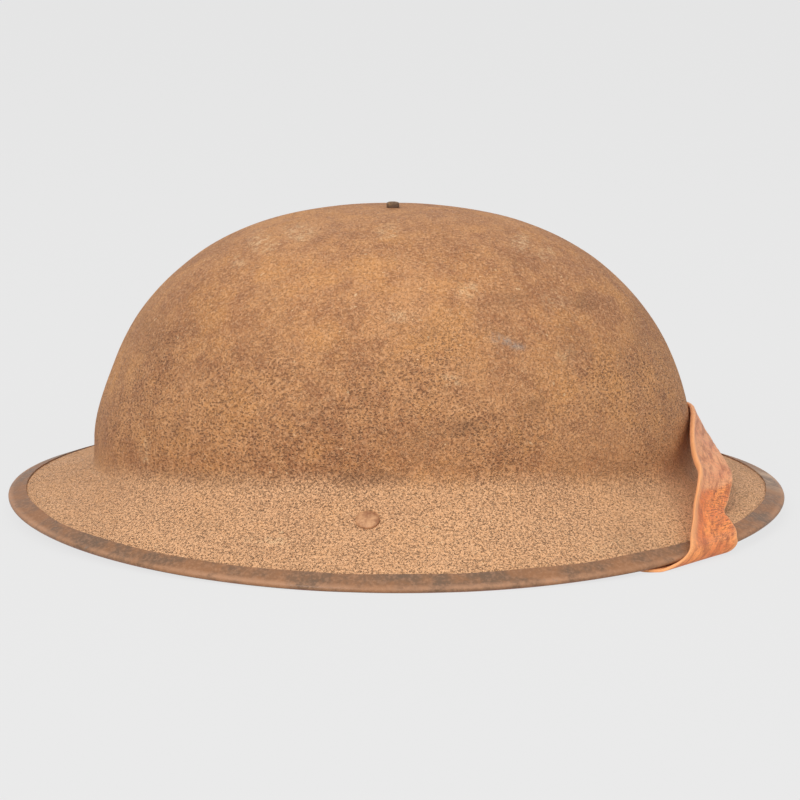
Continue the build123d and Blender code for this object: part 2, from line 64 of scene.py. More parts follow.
# A path steeper than this share of upright needs another guide direction than up.
STEEP = 0.95
# Keeps a guide direction from being zero where a path starts straight.
NUDGE = np.array([1e-6, 2e-6, 1e-6])
ROOT_BODY = "helmet"
NEAR_BODY = "right_bail"
FAR_BODY = "left_bail"
BUCKLE_BODY = "slide_buckle"
Socket = bpy.types.NodeSocket
# What an input of a shader node takes: another node's output, a number or a colour.
Feed = Socket | float | tuple
log = logging.getLogger("helmet")


class Side(Enum):
    """The two sides of the helmet, by the sign of Y."""

    NEAR = -1
    FAR = 1


def colour(red: float, green: float, blue: float) -> tuple[float, float, float, float]:
    """A colour as it looks on a screen, 0 to 255, turned to the linear values that shaders take.

    The screen's standard curve is a straight line near black and a power of 2.4 above it.

    Args:
        red, green, blue: screen values.

    Returns:
        Linear red, green and blue with full alpha.
    """

    def linear(value: float) -> float:
        """One channel along the screen's curve."""
        share = value / 255
        return share / 12.92 if share <= 0.04045 else ((share + 0.055) / 1.055) ** 2.4

    return linear(red), linear(green), linear(blue), 1.0


def smooth(value: np.ndarray, low: float, high: float) -> np.ndarray:
    """The smooth step 3t^2 - 2t^3 of value between low and high.

    Args:
        value: any array.
        low, high: where the step starts and ends.

    Returns:
        An array of 0 to 1.
    """
    t = np.clip((value - low) / (high - low), 0, 1)
    return t * t * (3 - 2 * t)


def ripple(points: np.ndarray, length: float, seed: int, waves: int = 14) -> np.ndarray:
    """Smooth uneven noise: a sum of sine waves that run in random directions.

    Args:
        points: positions, the last axis X, Y, Z.
        length: the waves' mean length, in the points' unit.
        seed: picks the directions and phases.
        waves: how many waves are added.

    Returns:
        Values of about -1 to 1.
    """
    random = np.random.default_rng(seed)
    way = random.normal(size=(3, waves))
    way = way / np.linalg.norm(way, axis=0) * (2 * math.pi / length)
    way = way * random.uniform(*RIPPLE_SPREAD, waves)
    phase = random.uniform(0, 2 * math.pi, waves)
    return np.sin(points @ way + phase).sum(axis=-1) / math.sqrt(waves * 2)


@dataclass
class Surface:
    """A closed mesh in the making: points in millimetres, faces, and values stored on its points."""

    points: np.ndarray
    quads: np.ndarray
    triangles: np.ndarray = field(default_factory=lambda: np.zeros((0, 3), int))
    values: dict[str, np.ndarray] = field(default_factory=dict)

    def signed_volume(self) -> float:
        """The sum of the tetrahedra from the origin to each triangle.

        Returns:
            The volume, negative if the surface is inside out.
        """
        corners = np.vstack([self.triangles, self.quads[:, :3], self.quads[:, [0, 2, 3]]])
        a, b, c = (self.points[corners[:, i]] for i in range(3))
        return float((a * np.cross(b, c)).sum() / 6)

    def mesh(self, name: str, crease: float = 40.0) -> bpy.types.Mesh:
        """Writes the surface to a Blender mesh in metres with its faces turned outwards.

        Args:
            name: the mesh's name.
            crease: faces that meet at more than this many degrees show a sharp edge.

        Returns:
            The mesh.
        """
        flip = self.signed_volume() < 0
        quads = self.quads[:, ::-1] if flip else self.quads
        triangles = self.triangles[:, ::-1] if flip else self.triangles
        data = bpy.data.meshes.new(name)
        faces = quads.tolist() + triangles.tolist()
        data.from_pydata((self.points * MM).tolist(), [], faces)
        for key, value in self.values.items():
            if value.ndim == 1:
                layer = data.attributes.new(key, "FLOAT", "POINT")
                layer.data.foreach_set("value", value.astype(np.float32))
            else:
                layer = data.attributes.new(key, "FLOAT_VECTOR", "POINT")
                layer.data.foreach_set("vector", value.astype(np.float32).ravel())
        data.polygons.foreach_set("use_smooth", np.ones(len(faces), bool))
        data.set_sharp_from_angle(angle=math.radians(crease))
        data.validate()
        return data


def grid_quads(rows: int, columns: int, wrap_rows: bool, wrap_columns: bool) -> np.ndarray:
    """Quads that join neighbours on a grid of points.

    Args:
        rows, columns: the grid's size.
        wrap_rows, wrap_columns: whether the last row or column joins the first.

    Returns:
        Point numbers, four a face.
    """
    index = np.arange(rows * columns).reshape(rows, columns)
    if wrap_rows:
        index = np.vstack([index, index[:1]])
    if wrap_columns:
        index = np.hstack([index, index[:, :1]])
    corners = [index[:-1, :-1], index[1:, :-1], index[1:, 1:], index[:-1, 1:]]
    return np.stack(corners, axis=-1).reshape(-1, 4)


def ringed(grid: np.ndarray, values: dict[str, np.ndarray] | None = None) -> Surface:
    """A closed surface whose grid wraps both ways, such as a wall with two skins and two edges.

    Args:
        grid: points by loop step and by azimuth.
        values: arrays on the same grid.

    Returns:
        The surface.
    """
    rows, columns = grid.shape[:2]
    flat = {k: v.reshape(rows * columns, *v.shape[2:]) for k, v in (values or {}).items()}
    return Surface(grid.reshape(-1, 3), grid_quads(rows, columns, True, True), values=flat)


def rodded(grid: np.ndarray, values: dict[str, np.ndarray] | None = None) -> Surface:
    """A closed rod: sections by row, each a loop of columns, with a fan at each end.

    Args:
        grid: points by section and by step round the section.
        values: arrays on the same grid.

    Returns:
        The surface.
    """
    rows, columns = grid.shape[:2]
    count = rows * columns
    step = np.arange(columns)
    ahead = (step + 1) % columns
    first = np.stack([np.full(columns, count), step, ahead], axis=-1)
    end = count - columns
    last = np.stack([np.full(columns, count + 1), end + ahead, end + step], axis=-1)
    points = np.vstack([grid.reshape(-1, 3), grid[0].mean(axis=0), grid[-1].mean(axis=0)])
    flat = {}
    for key, value in (values or {}).items():
        ends = np.stack([value[0].mean(axis=0), value[-1].mean(axis=0)])
        flat[key] = np.concatenate([value.reshape(count, *value.shape[2:]), ends])
    quads = grid_quads(rows, columns, False, True)
    return Surface(points, quads, np.vstack([first, last]), flat)


def joined(surfaces: list[Surface]) -> Surface:
    """Several closed surfaces as one, with the values of each kept.

    Args:
        surfaces: the surfaces, all with the same named values.

    Returns:
        One surface that holds them all.
    """
    starts = np.cumsum([0] + [len(s.points) for s in surfaces[:-1]])
    keys = surfaces[0].values.keys()
    return Surface(
        np.vstack([s.points for s in surfaces]),
        np.vstack([s.quads + n for s, n in zip(surfaces, starts)]),
        np.vstack([s.triangles + n for s, n in zip(surfaces, starts)]),
        {k: np.concatenate([s.values[k] for s in surfaces]) for k in keys},
    )


def smooth_path(stops: np.ndarray, knots: np.ndarray, count: int) -> np.ndarray:
    """A smooth curve through stops: cubic Hermite pieces whose slopes come from the neighbours.

    Args:
        stops: values at the knots, one row each.
        knots: the rising parameter of each stop.
        count: how many values to give, evenly spaced in the parameter.

    Returns:
        The values along the curve.
    """
    gaps = np.diff(knots)[:, None]
    slopes = np.diff(stops, axis=0) / gaps
    inner = (slopes[:-1] * gaps[1:] + slopes[1:] * gaps[:-1]) / (gaps[1:] + gaps[:-1])
    tangents = np.vstack([slopes[:1], inner, slopes[-1:]])
    at = np.linspace(knots[0], knots[-1], count)
    piece = np.clip(np.searchsorted(knots, at, side="right") - 1, 0, len(knots) - 2)
    h = gaps[piece]
    t = ((at - knots[piece]) / h[:, 0])[:, None]
    start, end = stops[piece], stops[piece + 1]
    rise = (2 * t**3 - 3 * t**2 + 1) * start + (3 * t**2 - 2 * t**3) * end
    lean = (t**3 - 2 * t**2 + t) * h * tangents[piece] + (t**3 - t**2) * h * tangents[piece + 1]
    return rise + lean


def tube(path: np.ndarray, radius: float, sides: int, closed: bool) -> Surface:
    """A round tube along a path: each section is a circle square to the path.

    Sections are turned by a guide direction: up, or the normal of the path's first bend
    where the path runs steeply.

    Args:
        path: the centre line's points.
        radius: the tube's radius.
        sides: points round each section.
        closed: whether the path's last point joins the first.

    Returns:
        The tube's surface.
    """
    ahead = np.roll(path, -1, axis=0)
    behind = np.roll(path, 1, axis=0)
    if not closed:
        ahead[-1], behind[0] = path[-1], path[0]
    along = ahead - behind
    along /= np.linalg.norm(along, axis=1)[:, None]
    guide = np.array([0.0, 0.0, 1.0])
    if (np.abs(along[:, 2]) > STEEP).any():
        guide = np.cross(along[0], along[len(path) // 3]) + NUDGE
    out = np.cross(along, guide)
    out /= np.linalg.norm(out, axis=1)[:, None]
    up = np.cross(out, along)
    turn = np.linspace(0, 2 * math.pi, sides, endpoint=False)[None, :, None]
    grid = path[:, None] + radius * (np.cos(turn) * out[:, None] + np.sin(turn) * up[:, None])
    return ringed(grid) if closed else rodded(grid)


@dataclass(frozen=True)
class Outline:
    """The shell's outer line in one upright plane, as functions of a station from 0 to 3.

    reach is the binding's outer radius and dome the dome's, fullness the superellipse's
    exponent, slope the brim's fall in degrees, flare the radius between dome and brim, lift
    how far the edge rises off the ground there, height the dome's top, wall the sheet's
    thickness, edge the radius of the binding's bend, and rest_wear how deep the binding is worn
    where it stands.
    """

    reach: float
    dome: float
    fullness: float
    slope: float
    flare: float
    lift: float
    height: float
    wall: float
    edge: float
    rest_wear: float = 0.15

    def rim(self, inward: np.ndarray, up: np.ndarray) -> tuple[np.ndarray, np.ndarray]:
        """A point beside the rim's edge line.

        Args:
            inward: distance from the edge line up along the brim.
            up: distance square to the brim.

        Returns:
            Radius and height arrays.
        """
        slope = math.radians(self.slope)
        r = self.reach - self.edge - inward * math.cos(slope) + up * math.sin(slope)
        level = self.edge - self.rest_wear + self.lift
        return r, level + inward * math.sin(slope) + up * math.cos(slope)

    def turn(self) -> float:
        """How far the flare turns, in radians."""
        return math.radians(90 - self.slope)

    def flare_end(self) -> float:
        """Radius where the flare meets the straight brim."""
        return self.dome + self.flare - self.flare * math.cos(self.turn())

    def foot(self) -> float:
        """Height where the dome's wall stands upright: the brim's rise and the flare's above the rim.

        Returns:
            The height.
        """
        r, z = self.rim(0, self.wall / 2)
        brim_rise = (r - self.flare_end()) * math.tan(math.radians(self.slope))
        return z + brim_rise + self.flare * math.sin(self.turn())

    def station_at_level(self, level: float) -> float:
        """The dome station at a height: the superellipse's height is a sine."""
        return 1 - math.asin((level - self.foot()) / (self.height - self.foot())) / (math.pi / 2)

    def station_at_radius(self, radius: float) -> float:
        """The dome station at a radius."""
        return 1 - math.acos((radius / self.dome) ** (self.fullness / 2)) / (math.pi / 2)

    def at(self, station: np.ndarray, depth: np.ndarray) -> tuple[np.ndarray, np.ndarray]:
        """Radius and height under the outer line: a superellipse, then an arc, then a straight brim.

        Args:
            station: 0 to 1 on the dome, 1 to 2 round the flare, 2 to 3 along the brim.
            depth: how far under the outer line, square to it.

        Returns:
            Radius and height arrays.
        """
        station, depth = np.broadcast_arrays(np.asarray(station, float), np.asarray(depth, float))
        rise = self.height - self.foot()
        angle = math.pi / 2 * (1 - np.clip(station, 0, 1))
        r = self.dome * np.maximum(np.cos(angle), 0) ** (2 / self.fullness)
        z = rise * np.sin(angle)
        across = self.fullness / self.dome * (r / self.dome) ** (self.fullness - 1)
        upward = 2 * z / rise**2
        size = np.hypot(across, upward)
        dome = (r - depth * across / size, self.foot() + z - depth * upward / size)
        bend = np.clip(station - 1, 0, 1) * self.turn()
        arc = self.flare + depth
        flare = (self.dome + self.flare - arc * np.cos(bend), self.foot() - arc * np.sin(bend))
        length = (self.rim(0, 0)[0] - self.flare_end()) / math.cos(math.radians(self.slope))
        brim = self.rim((3 - station) * length, self.wall / 2 - depth)
        pick = [station <= 1, station <= 2]
        return tuple(np.select(pick, [dome[i], flare[i]], brim[i]) for i in (0, 1))


@dataclass(frozen=True)
class Form:
    """The helmet's form: rings that pass through an end outline and a side outline.

    strip is the binding's thickness, slack the room inside its fold, and set_back how far the
    crown lies behind the middle.
    """

    shell_height: float = 117.2
    wall: float = 1.0
    strip: float = 0.55
    slack: float = 0.1
    set_back: float = 1.8

    @property
    def edge(self) -> float:
        """Outer radius of the binding's bend."""
        return self.wall / 2 + self.slack + self.strip

    @property
    def ends(self) -> Outline:
        """The outline along the helmet."""
        return self.outline(reach=153.0, dome=115.8, fullness=2.44, slope=16.2, flare=11.5, lift=4.6)

    @property
    def sides(self) -> Outline:
        """The outline across the helmet."""
        return self.outline(reach=146.0, dome=103.0, fullness=2.5, slope=33.0, flare=13.0, lift=0.0)

    def outline(self, **sizes: float) -> Outline:
        """An outline of the sizes given, with the helmet's height, wall and edge."""
        return Outline(height=self.shell_height, wall=self.wall, edge=self.edge, **sizes)

    def ring(self, end: tuple, side: tuple, angle: np.ndarray) -> np.ndarray:
        """Points of the ring through an end point and a side point.

        X and Y are the end and side radii times the angle's cosine and sine, and the height
        goes from one to the other with the squares of both.

        Args:
            end, side: radius and height along the helmet and across it.
            angle: azimuth from the front, in radians.

        Returns:
            Positions, the last axis X, Y, Z.
        """
        c, s = np.cos(angle), np.sin(angle)
        z = end[1] * c**2 + side[1] * s**2
        return np.stack([end[0] * c - self.set_back * z / self.shell_height, side[0] * s, z], axis=-1)

    def skin(self, station: np.ndarray, depth: np.ndarray, angle: np.ndarray) -> np.ndarray:
        """A point of the wall by station, depth and azimuth in radians."""
        return self.ring(self.ends.at(station, depth), self.sides.at(station, depth), angle)

    def dome_spot(self, level: float, depth: np.ndarray, angle: np.ndarray) -> np.ndarray:
        """Points under the dome, where the outer surface stands at the given height.

        Args:
            level: the outer surface's height.
            depth: how far inside it, with the shape of angle.
            angle: azimuths.

        Returns:
            Positions.
        """
        end = self.ends.at(self.ends.station_at_level(level), depth)
        return self.ring(end, self.sides.at(self.sides.station_at_level(level), depth), angle)

    def rim_spot(self, inward: np.ndarray, up: np.ndarray, angle: np.ndarray) -> np.ndarray:
        """A point near the rim's edge."""
        return self.ring(self.ends.rim(inward, up), self.sides.rim(inward, up), angle)

    def hung(
        self,
        share: np.ndarray,
        extra: np.ndarray,
        mouth: float,
        crown_depth: float,
        wall_depth: float,
        straight: float,
        angle: np.ndarray,
    ) -> np.ndarray:
        """Points of a dome that hangs inside, from its mouth at share 0 to its straight wall at 1.

        Its depth goes from the crown's to the wall's with the square of the share.

        Args:
            share: how far down the dome, 0 to 1.
            extra: more depth at each point.
            mouth: radius of its mouth.
            crown_depth, wall_depth: depth under the outer surface at the mouth and at the wall.
            straight: height at which its straight wall begins.
            angle: azimuths.

        Returns:
            Positions.
        """
        spots = []
        for line in (self.ends, self.sides):
            start = line.station_at_radius(mouth)
            station = start + (line.station_at_level(straight) - start) * share
            spots.append(line.at(station, crown_depth + (wall_depth - crown_depth) * share**2 + extra))
        return self.ring(spots[0], spots[1], angle)


FORM = Form()


class Graph:
    """A material's node tree, with one short call for each kind of node."""

    def __init__(self, name: str) -> None:
        """Starts a material with a Principled shader.

        Args:
            name: the material's name.
        """
        self.material = bpy.data.materials.new(name)
        self.material.use_nodes = True
        self.tree = self.material.node_tree
        self.tree.nodes.clear()
        output = self.tree.nodes.new("ShaderNodeOutputMaterial")
        self.shader = self.tree.nodes.new("ShaderNodeBsdfPrincipled")
        self.tree.links.new(self.shader.outputs[0], output.inputs[0])
        self.object_coords = self.tree.nodes.new("ShaderNodeTexCoord").outputs["Object"]

    def node(self, kind: str) -> bpy.types.Node:
        """A new shader node of that kind."""
        return self.tree.nodes.new(f"ShaderNode{kind}")

    def put(self, socket: Socket, value: Feed) -> None:
        """Links value to a socket, or sets it there if it is a plain number or colour.

        Args:
            socket: the input.
            value: another node's output, a number or a colour.
        """
        if isinstance(value, Socket):
            self.tree.links.new(value, socket)
        else:
            socket.default_value = value

    def stored(self, name: str) -> bpy.types.Node:
        """A node that reads what the mesh stores on its points.

        Args:
            name: the stored value's name.

        Returns:
            The node.
        """
        node = self.node("Attribute")
        node.attribute_name = name
        return node

    def value(self, name: str) -> Socket:
        """The stored number of that name."""
        return self.stored(name).outputs["Fac"]

    def place(self, name: str) -> Socket:
        """The stored vector of that name."""
        return self.stored(name).outputs["Vector"]

    def noise(
        self,
        scale: float,
        detail: float,
        rough: float,
        at: Socket | None = None,
        stretch: tuple | None = None,
    ) -> Socket:
        """Noise of 0 to 1.

        Args:
            scale: its features are about 1 / scale metres wide.
            detail: how many finer layers it has.
            rough: how strong each finer layer is beside the last.
            at: coordinates; the object's own where there are none.
            stretch: scale by axis.

        Returns:
            The noise.
        """
        node = self.node("TexNoise")
        node.inputs["Scale"].default_value = scale
        node.inputs["Detail"].default_value = detail
        node.inputs["Roughness"].default_value = rough
        where = self.object_coords if at is None else at
        self.put(node.inputs["Vector"], where if stretch is None else self.stretched(where, stretch))
        return node.outputs["Fac"]

    def stretched(self, where: Socket, stretch: tuple) -> Socket:
        """Coordinates scaled by axis, so a pattern is narrower along an axis with more.

        Args:
            where: coordinates.
            stretch: three factors.

        Returns:
            The scaled coordinates.
        """
        node = self.node("Mapping")
        node.inputs["Scale"].default_value = stretch
        self.put(node.inputs["Vector"], where)
        return node.outputs[0]

    def cells(self, scale: float, stretch: tuple) -> Socket:
        """Distance from the middle of scattered cells, 0 at the middle.

        Args:
            scale: cells to a metre.
            stretch: scale by axis.

        Returns:
            The distance as a share of a cell.
        """
        node = self.node("TexVoronoi")
        node.inputs["Scale"].default_value = scale
        self.put(node.inputs["Vector"], self.stretched(self.object_coords, stretch))
        return node.outputs["Distance"]

    def span(
        self, value: Feed, low: float, high: float, out_low: float = 0.0, out_high: float = 1.0
    ) -> Socket:
        """Value from low to high, spread smoothly over the two outputs.

        Args:
            value: what is spread.
            low, high: where the step starts and ends.
            out_low, out_high: what it gives there.

        Returns:
            The spread value.
        """
        node = self.node("MapRange")
        node.interpolation_type = "SMOOTHSTEP"
        self.put(node.inputs["Value"], value)
        node.inputs["From Min"].default_value = low
        node.inputs["From Max"].default_value = high
        node.inputs["To Min"].default_value = out_low
        node.inputs["To Max"].default_value = out_high
        return node.outputs["Result"]

    def maths(self, operation: str, first: Feed, second: Feed) -> Socket:
        """One sum on two numbers.

        Args:
            operation: the kind of sum.
            first, second: the numbers.

        Returns:
            The result.
        """
        node = self.node("Math")
        node.operation = operation
        self.put(node.inputs[0], first)
        self.put(node.inputs[1], second)
        return node.outputs[0]

    def times(self, first: Feed, second: Feed) -> Socket:
        """One number times another."""
        return self.maths("MULTIPLY", first, second)

    def mix(self, share: Feed, first: Feed, second: Feed) -> Socket:
        """A colour between two others.

        Args:
            share: 0 for the first, 1 for the second.
            first, second: the colours.

        Returns:
            The colour.
        """
        node = self.node("Mix")
        node.data_type = "RGBA"
        self.put(node.inputs["Factor"], share)
        self.put(node.inputs["A"], first)
        self.put(node.inputs["B"], second)
        return node.outputs["Result"]

    def coat(self, base: Feed, top: Feed, cover: Feed, strength: Feed) -> Socket:
        """A colour with another laid over it, as strong as cover times strength."""
        return self.mix(self.times(cover, strength), base, top)

    def bump(
        self, height: Feed, distance: float, strength: float = 1.0, under: Socket | None = None
    ) -> Socket:
        """A normal tilted by a height.

        Args:
            height: 0 to 1, for 0 to distance.
            distance: metres.
            strength: share of the tilt that shows.
            under: a normal that is tilted already.

        Returns:
            The normal.
        """
        node = self.node("Bump")
        node.inputs["Distance"].default_value = distance
        node.inputs["Strength"].default_value = strength
        self.put(node.inputs["Height"], height)
        if under is not None:
            self.put(node.inputs["Normal"], under)
        return node.outputs[0]

    def finish(
        self, base: Feed, rough: Feed, normal: Socket, metallic: float = 0.0, sheen: float = 0.0
    ) -> bpy.types.Material:
        """Joins the results to the shader.

        Args:
            base: colour.
            rough: roughness.
            normal: bumped normal.
            metallic: 0 for paint and cloth, 1 for bare metal.
            sheen: weight of the soft fuzz of cloth and hide.

        Returns:
            The material.
        """
        self.put(self.shader.inputs["Base Color"], base)
        self.put(self.shader.inputs["Roughness"], rough)
        self.put(self.shader.inputs["Normal"], normal)
        self.shader.inputs["Metallic"].default_value = metallic
        self.shader.inputs["Sheen Weight"].default_value = sheen
        return self.material


@dataclass(frozen=True)
class GritPaint:
    """Dull brown paint over sprinkled grit, pitted on the dome, paler and finer on the brim."""

    name: str = "grit_paint"
    shade: tuple = colour(162, 106, 64)
    middle: tuple = colour(198, 140, 90)
    warm: tuple = colour(210, 146, 82)
    pale: tuple = colour(242, 188, 140)
    chalk: tuple = colour(234, 194, 148)
    stain: tuple = colour(112, 74, 50)
    steel: tuple = colour(160, 152, 142)
    pit: tuple = colour(90, 54, 32)
    pit_stretch: tuple = (0.85, 0.85, 1.45)
    pit_softness: float = 0.09

    def holes(self, g: Graph, scale: float, wide: float, wander: float) -> Socket:
        """Scattered pits, longer than high: cells of 1 / scale metres, with uneven edges.

        Args:
            g: the material's graph.
            scale: cells to a metre.
            wide: the pits' half width as a share of a cell.
            wander: how far noise moves their edges, as a share of a cell.

        Returns:
            1 in a pit and 0 between.
        """
        ragged = g.times(g.noise(scale * 1.9, 2.0, 0.6), wander)
        distance = g.maths("ADD", g.cells(scale, self.pit_stretch), ragged)
        edge = wide + wander / 2
        return g.span(distance, edge + self.pit_softness, edge - self.pit_softness)

    def darkened(self, g: Graph, grainy: Socket) -> Socket:
        """Coarse and dense pits on the dome, and tiny dark specks all over.

        Args:
            g: the material's graph.
            grainy: the mesh's value for grain, where specks are strongest.

        Returns:
            1 where the paint is dark and low, and 0 between.
        """
        pitted = g.value("pitted")
        coarse = g.times(self.holes(g, 640.0, 0.24, 0.40), g.span(pitted, 0.45, 1.0))
        dense = g.times(self.holes(g, 1050.0, 0.25, 0.45), pitted)
        speck = g.span(g.noise(1250.0, 5.0, 0.85), 0.48, 0.39)
        tiny = g.times(speck, g.maths("ADD", g.times(grainy, 0.75), 0.30))
        pits = g.maths("MAXIMUM", coarse, g.times(dense, 0.8))
        return g.maths("MAXIMUM", pits, g.times(tiny, 0.75))

    def material(self) -> bpy.types.Material:
        """The finish, driven by the mesh's values pitted, grainy, smoothed, scuffed, stained and bared.

        Returns:
            The material.
        """
        g = Graph(self.name)
        patches = g.noise(16.0, 5.0, 0.62)
        mottle = g.noise(110.0, 6.0, 0.74)
        grit = g.noise(820.0, 4.0, 0.70)
        fine = g.noise(1700.0, 3.0, 0.7)
        grainy = g.value("grainy")
        blend = g.maths("ADD", g.times(patches, 0.45), g.times(mottle, 0.55))
        base = g.mix(g.span(blend, 0.40, 0.60), self.shade, self.middle)
        base = g.coat(base, self.warm, g.span(g.noise(38.0, 5.0, 0.65), 0.48, 0.66), 0.5)
        base = g.coat(base, self.pale, grainy, g.span(fine, 0.38, 0.56, 0.25, 1.0))
        base = g.coat(base, self.pale, g.span(grit, 0.46, 0.62), 0.34)
        scuffed = g.times(g.value("scuffed"), g.span(g.noise(360.0, 7.0, 0.85), 0.46, 0.60))
        base = g.coat(base, self.chalk, scuffed, 0.85)
        stained = g.times(g.value("stained"), g.span(mottle, 0.34, 0.62))
        base = g.coat(base, self.stain, stained, 0.5)
        dark = self.darkened(g, grainy)
        base = g.coat(base, self.pit, dark, 0.64)
        bared = g.times(g.value("bared"), g.span(g.noise(480.0, 6.0, 0.8), 0.43, 0.54))
        base = g.coat(base, self.steel, bared, 0.55)
        base = g.coat(base, self.chalk, g.span(g.noise(480.0, 1.0, 0.4), 0.755, 0.79), 0.7)
        raised = g.times(grit, g.span(g.value("smoothed"), 0, 1, 1.0, 0.5))
        normal = g.bump(g.maths("SUBTRACT", raised, g.times(dark, 0.9)), 0.0006)
        normal = g.bump(fine, 0.0002, 0.7, normal)
        return g.finish(base, g.span(mottle, 0.3, 0.7, 0.66, 0.84), normal)


@dataclass(frozen=True)
class BindingPaint:
    """Thin paint on the folded strip, worn pale along the fold and red-brown beneath."""

    name: str = "binding_paint"
    top: tuple = colour(146, 100, 64)
    dark: tuple = colour(104, 76, 52)
    worn: tuple = colour(184, 136, 102)
    primer: tuple = colour(150, 74, 52)
    steel: tuple = colour(132, 118, 106)
    bared: tuple = colour(204, 180, 154)

    def material(self) -> bpy.types.Material:
        """The finish, driven by the mesh's values fold, under and bare.

        Returns:
            The material.
        """
        g = Graph(self.name)
        patches = g.noise(45.0, 5.0, 0.7)
        fine = g.noise(700.0, 3.0, 0.6)
        fold = g.value("fold")
        base = g.mix(g.span(patches, 0.38, 0.62), self.dark, self.top)
        base = g.coat(base, self.worn, g.span(fine, 0.45, 0.65), 0.3)
        base = g.mix(g.value("under"), base, g.mix(g.span(patches, 0.4, 0.6), self.primer, self.dark))
        base = g.coat(base, self.bared, g.times(g.value("bare"), g.span(patches, 0.38, 0.58)), 0.8)
        chipped = g.times(fold, g.span(g.noise(90.0, 5.0, 0.75), 0.30, 0.56))
        base = g.coat(base, self.worn, chipped, 0.85)
        bare = g.times(fold, g.span(g.noise(150.0, 4.0, 0.7), 0.60, 0.68))
        base = g.coat(base, self.steel, bare, 0.7)
        height = g.maths("ADD", g.times(fine, 0.7), g.times(patches, 0.6))
        return g.finish(base, g.span(patches, 0.3, 0.7, 0.42, 0.66), g.bump(height, 0.0002, 0.8))


@dataclass(frozen=True)
class DullMetal:
    """Plain metal or painted fittings, dulled by handling and specked with rust."""

    name: str
    bright: tuple
    dull: tuple
    rust: tuple = colour(110, 66, 42)
    metallic: float = 0.0
    roughness: float = 0.5
    rusted: float = 0.55

    def material(self) -> bpy.types.Material:
        """The finish.

        Returns:
            The material.
        """
        g = Graph(self.name)
        patches = g.noise(260.0, 4.0, 0.65)
        specks = g.noise(1300.0, 3.0, 0.6)
        base = g.mix(g.span(patches, 0.35, 0.65), self.dull, self.bright)
        base = g.coat(base, self.rust, g.span(specks, 0.52, 0.66), self.rusted)
        rough = g.span(specks, 0.3, 0.7, self.roughness, self.roughness + 0.25)
        return g.finish(base, rough, g.bump(specks, 0.00012, 0.6), self.metallic)


@dataclass(frozen=True)
class StrapLeather:
    """Old tan leather: bright where it is flexed, darker grain in the creases, a raw fuzzy edge."""

    name: str = "strap_leather"
    tan: tuple = colour(226, 122, 58)
    bright: tuple = colour(254, 158, 84)
    pink: tuple = colour(234, 166, 118)
    brown: tuple = colour(158, 82, 44)
    crease: tuple = colour(116, 54, 34)
    edge: tuple = colour(250, 176, 114)

    def material(self) -> bpy.types.Material:
        """The finish, driven by the mesh's values strap (its length and width), edge, faded and wrinkled.

        Returns:
            The material.
        """
        g = Graph(self.name)
        at = g.place("strap")
        soft = g.noise(90.0, 4.0, 0.6, at)
        streak = g.noise(300.0, 4.0, 0.65, at, (0.30, 1.0, 1.0))
        slanted = g.noise(170.0, 5.0, 0.75, at, (0.6, 2.4, 1.0))
        speck = g.noise(950.0, 6.0, 0.80, at, (1.0, 0.40, 1.0))
        grain = g.noise(1400.0, 4.0, 0.7, at)
        wrinkle = g.noise(420.0, 5.0, 0.7, at, (1.0, 0.35, 1.0))
        base = g.mix(g.span(soft, 0.35, 0.65), self.tan, self.bright)
        base = g.coat(base, self.pink, g.value("faded"), g.span(soft, 0.3, 0.6, 0.45, 0.95))
        base = g.coat(base, self.brown, g.span(streak, 0.46, 0.62), 0.62)
        base = g.coat(base, self.brown, g.span(slanted, 0.50, 0.62), 0.45)
        creased = g.span(g.value("wrinkled"), 0.0, 1.0, 0.18, 0.85)
        base = g.coat(base, self.crease, g.span(speck, 0.48, 0.60), creased)
        base = g.coat(base, self.edge, g.value("edge"), 0.8)
        height = g.maths("ADD", g.times(grain, 0.45), g.times(wrinkle, 0.8))
        rough = g.span(soft, 0.3, 0.7, 0.52, 0.70)
        return g.finish(base, rough, g.bump(height, 0.00045, 0.8), sheen=0.08)


@dataclass(frozen=True)
class Cloth:
    """Cloth, felt, twine or rubber: a fine fuzz with soiling."""

    name: str
    light: tuple
    dark: tuple
    roughness: float
    sheen: float
    grain: float

    def material(self) -> bpy.types.Material:
        """The finish.

        Returns:
            The material.
        """
        g = Graph(self.name)
        soil = g.noise(40.0, 4.0, 0.65)
        fuzz = g.noise(self.grain, 4.0, 0.75)
        base = g.mix(g.span(soil, 0.32, 0.68), self.dark, self.light)
        base = g.coat(base, self.dark, g.span(fuzz, 0.4, 0.6), 0.35)
        rough = g.span(soil, 0.3, 0.7, self.roughness - 0.15, self.roughness)
        return g.finish(base, rough, g.bump(fuzz, 0.0003, 0.8), sheen=self.sheen)


